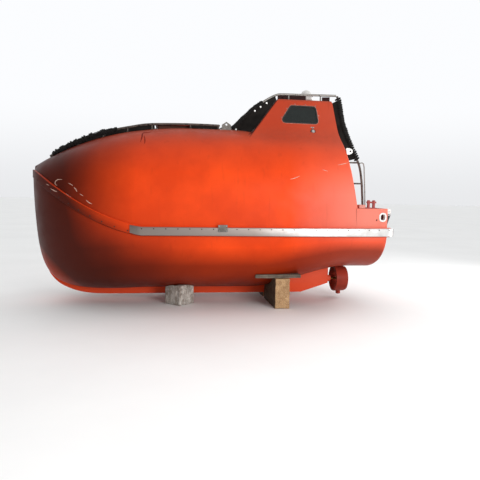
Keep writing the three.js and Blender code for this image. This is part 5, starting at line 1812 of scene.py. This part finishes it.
def stern_lug(name):
    return eye_plate(name, [(2.4406, 1.165), (2.4544, 1.165), (2.508, 1.335), (2.508, 1.402), (2.495, 1.415),
                            (2.4406, 1.415)], 0.85, 0.010, (-2.478, 1.374), 0.014, 0.006)


def rail_plate(name):
    return plate(name, side_on(y=RAIL_PLATE_Y), rectangle(0.030, 0.155, 1.088, 1.182, 0.006), 0, 0.005)


def bollard(name):
    y, z = BOLLARD["y"], BOLLARD["cross_z"]
    parts = [box_plate("base", -2.25, -2.10, 0.912, 0.962, BULWARK_TOP, 1.432)]
    parts += [bar("post", (x, y, 1.43), (x, y, 1.535), 0.020, 32) for x in (-2.215, -2.140)]
    return joined(name, [*parts, bar("cross", (BOLLARD["cross_aft"], y, z), (-2.11, y, z), 0.012, 24)])


def step(name):
    return box_plate(name, -2.085, -1.990, 0.85, 0.985, BULWARK_TOP, 1.470, 0.012)


def fairlead(name):
    at = side_on(FAIRLEAD["x"], float(half_beam(FAIRLEAD["x"])), FAIRLEAD["z"])
    return joined(name, [
        ring_plate("flange", at, FAIRLEAD_HOLE, -0.007, 0.0165, 0.0010, 0.0138),
        ring_plate("sleeve", at, FAIRLEAD_HOLE, -0.007, -0.001, -0.044, 0.0012),
    ])


for make, made, ease in (
    (fore_lug, GALVANISED, 0.0015), (aft_lug, WHITE, 0.0015), (stern_lug, DARK_FOOTED_WHITE, 0.0015),
    (rail_plate, GALVANISED, 0.0015), (bollard, BOLLARD_RED, 0.0015), (step, PINK_STEP, 0.006),
    (fairlead, WHITE, 0.004),
):
    node = make.__name__
    finish_pair(make(f"{node}_port_piece"), made, node, bevel=ease)
caps = []
for y in (BOLLARD["y"], -BOLLARD["y"]):
    cap_ends = [(x, y, BOLLARD["cross_z"]) for x in (BOLLARD["cross_aft"], -2.249)]
    caps.append(bar("cap", *cap_ends, 0.0135, 24))
finish(joined("bollard_caps", caps), WHITE)
corners = [[Vector((x, RAIL_PLATE_Y + 0.0045, z)) for z in (1.102, 1.168)] for x in (-0.141, -0.044)]
fastenings("rail_plate_bolts", both_sides([(row, [(0, 1, 0)] * 2) for row in corners]), spacing=0.06,
           radius=0.006, height=0.003)
print("lugs, plates, bollards, steps and fairleads")

# %% [markdown]
# ## Inside
#
# Floor, benches and engine stay as the frame has them, under a finish of their own. The seat and the
# console stand in the tower, where the windows show them.

# %% Inside
for node, made in (("cabin_floor", LINER), ("bench_port", LINER), ("bench_starboard", LINER),
                   ("engine_block", ENGINE)):
    NODES[node].data.materials.clear()
    NODES[node].data.materials.append(made)

seat = joined("helm_seat_piece", [
    box_plate("pedestal", -1.48, -1.30, -0.09, 0.09, 0.9506, 1.79, 0.02),
    box_plate("seat", -1.60, -1.18, -0.22, 0.22, 1.78, 1.88, 0.05),
    box_plate("back", -1.60, -1.53, -0.22, 0.22, 1.86, 2.38, 0.03),
])
finish(seat, PLASTIC, "helm_seat", bevel=0.012, segments=3)
console = joined("helm_console_piece", [
    box_plate("stand", -0.78, -0.70, -0.06, 0.06, 0.5106, 2.07, 0.015),
    box_plate("desk", -0.85, -0.60, -0.30, 0.30, 2.06, 2.30, 0.03),
    bar("column", (-0.8944, 0, WHEEL.z), (-0.84, 0, WHEEL.z), 0.022, 24),
])
finish(console, CONSOLE_GREY, "helm_console", bevel=0.006)
print("inside finished")

# %% [markdown]
# ## The chocks
#
# The boat's weight has pressed the timbers against the hull, so their tops follow its curve. A cube
# with many faces is rounded, worn where the noise is high and then stretched into each timber. The
# cracks along the grain are left to the finish.

# %% Timbers
def worn_timber(name, size, place, top, low, radius, wear, seed, cuts=38):
    """A worn block. place turns its local x and y into the ground's, top gives the height there."""
    work = bmesh.new()
    bmesh.ops.create_cube(work, size=1)
    bmesh.ops.subdivide_edges(work, edges=work.edges, cuts=cuts, use_grid_fill=True)
    half = [s / 2 for s in size]
    for vert in work.verts:
        p = Vector([c * s for c, s in zip(vert.co, size)])
        core = Vector([max(radius - h, min(h - radius, c)) for c, h in zip(p, half)])
        out = (p - core).normalized()
        rough = fractal(p * 9 + Vector((seed, 0, 0)), 0.7, 2.0, 4)
        p = core + out * (radius - wear * max(0.0, rough + 0.15))
        x, y = place(p.x, p.y)
        vert.co = (x, y, low + (p.z / size[2] + 0.5) * (top(x, y) - low))
    mesh = bpy.data.meshes.new(name)
    work.to_mesh(mesh)
    work.free()
    return tidy(shown(name, mesh), 50)


def under_hull(limit):
    """The top of a timber: its sawn height, or just under the hull where that is lower."""
    return lambda x, y: min(limit, hull_height(x, y) - 0.001)


def block_place(a, b):
    """The block lies turned by 45 degrees."""
    return 0.433 + (a - b) * math.sqrt(0.5), 0.388 + (a + b) * math.sqrt(0.5)


def sleeper_place(a, b):
    return a - 0.975, b + 0.453


def plank_place(a, b):
    """The plank's inboard edge is worn to the hull's side."""
    wide, outboard = 0.24, 0.80
    x = -0.9225 + a
    across = np.linspace(0.56, outboard, 60)
    inboard = float(np.interp(0.4310, [hull_height(x, y) for y in across], across))
    return x, inboard + (b / wide + 0.5) * (outboard - inboard)


TIMBERS = [
    ("chock_block", (0.30, 0.30, 0.285), block_place, 0.285, 0.0, 0.018, 0.010, BLOCK_WOOD),
    ("chock_sleeper", (0.214, 0.794, 0.424), sleeper_place, 0.424, 0.0, 0.012, 0.008, SLEEPER_WOOD),
    ("chock_plank", (0.645, 0.24, 0.052), plank_place, 0.4764, 0.4244, 0.006, 0.004, PLANK_WOOD),
]
for seed, (node, size, place, top, low, radius, wear, wood) in enumerate(TIMBERS):
    port = worn_timber(f"{node}_port_piece", size, place, under_hull(top), low, radius, wear, seed * 7.3)
    finish_pair(port, wood, node)
print("six timbers under the boat")

# %% [markdown]
# ## Scuffs and cracks
#
# The port side has scrapes from hooks and fenders, and two cracks in the gelcoat forward of the hatch.
# Each is a film that stands 1.3 mm proud of the skin, with its edges sunk in it: its line is dropped
# onto the shell, so it keeps to the curve.

# %% Marks
# The section of a film: each point's share of the half width, and its height over the skin in metres
FILM = [(1, -0.001), (0.5, 0.0008), (0, 0.0013), (-0.5, 0.0008), (-1, -0.001), (0, -0.002)]


def film(name, target, routes, made):
    """Lens-shaped strips on a skin; a route is its points and its half width."""
    skin = BVHTree.FromPolygons([v.co for v in target.data.vertices],
                                [f.vertices for f in target.data.polygons])
    parts = []
    for points, wide in routes:
        line = catmull(points, 6)
        rings = []
        for i, p in enumerate(line):
            at, normal, _, _ = skin.find_nearest(p)
            share = i / (len(line) - 1)
            side = normal.cross(span(line, i).normalized()).normalized()
            side *= wide * (0.25 + 0.75 * math.sin(math.pi * share))
            rings.append([at + side * across + normal * rise for across, rise in FILM])
        parts.append(loft(name, rings))
    return finish(joined(name, parts), made, flat=60)


film("bow_scuffs", canopy, [
    ([(1.994, 0.687, 1.732), (2.052, 0.650, 1.730), (2.087, 0.635, 1.705), (2.089, 0.642, 1.672),
      (2.062, 0.666, 1.650)], 0.009),
    ([(1.905, 0.753, 1.687), (1.872, 0.776, 1.672), (1.838, 0.798, 1.653)], 0.007),
    ([(1.827, 0.807, 1.634), (1.799, 0.826, 1.606), (1.782, 0.840, 1.575)], 0.009),
    ([(1.744, 0.861, 1.549), (1.698, 0.884, 1.523)], 0.006),
    ([(1.661, 0.905, 1.472), (1.621, 0.923, 1.440), (1.582, 0.939, 1.423)], 0.008),
], SCUFF)
film("band_scuffs", band, [
    ([(2.216, 0.582, 1.670), (2.172, 0.623, 1.652)], 0.006),
    ([(2.153, 0.640, 1.613), (2.097, 0.685, 1.585), (2.051, 0.721, 1.570)], 0.008),
    ([(1.925, 0.775, 1.575), (1.883, 0.800, 1.550), (1.847, 0.822, 1.532)], 0.005),
], SCUFF)
film("aft_scuffs", canopy, [
    ([(-0.996, 1.020, 1.792), (-1.065, 1.014, 1.814), (-1.135, 1.007, 1.842)], 0.006),
    ([(-1.457, 0.970, 1.938), (-1.491, 0.971, 1.928), (-1.533, 0.971, 1.916)], 0.005),
    ([(-1.684, 0.933, 2.007), (-1.759, 0.921, 2.023), (-1.834, 0.908, 2.042)], 0.006),
], SCUFF)
film("canopy_stain", canopy, [
    ([(0.965, 0.572, 2.382), (0.900, 0.560, 2.395), (0.835, 0.545, 2.405)], 0.034),
], STAIN)
film("canopy_cracks", canopy, [
    ([(0.935, 0.520, 2.405), (0.958, 0.600, 2.366), (0.962, 0.680, 2.319), (0.978, 0.767, 2.245)], 0.013),
    ([(0.935, 0.640, 2.348), (0.921, 0.740, 2.278), (0.925, 0.798, 2.219)], 0.009),
], CRACK)
print("scuffs and cracks laid on the skin")
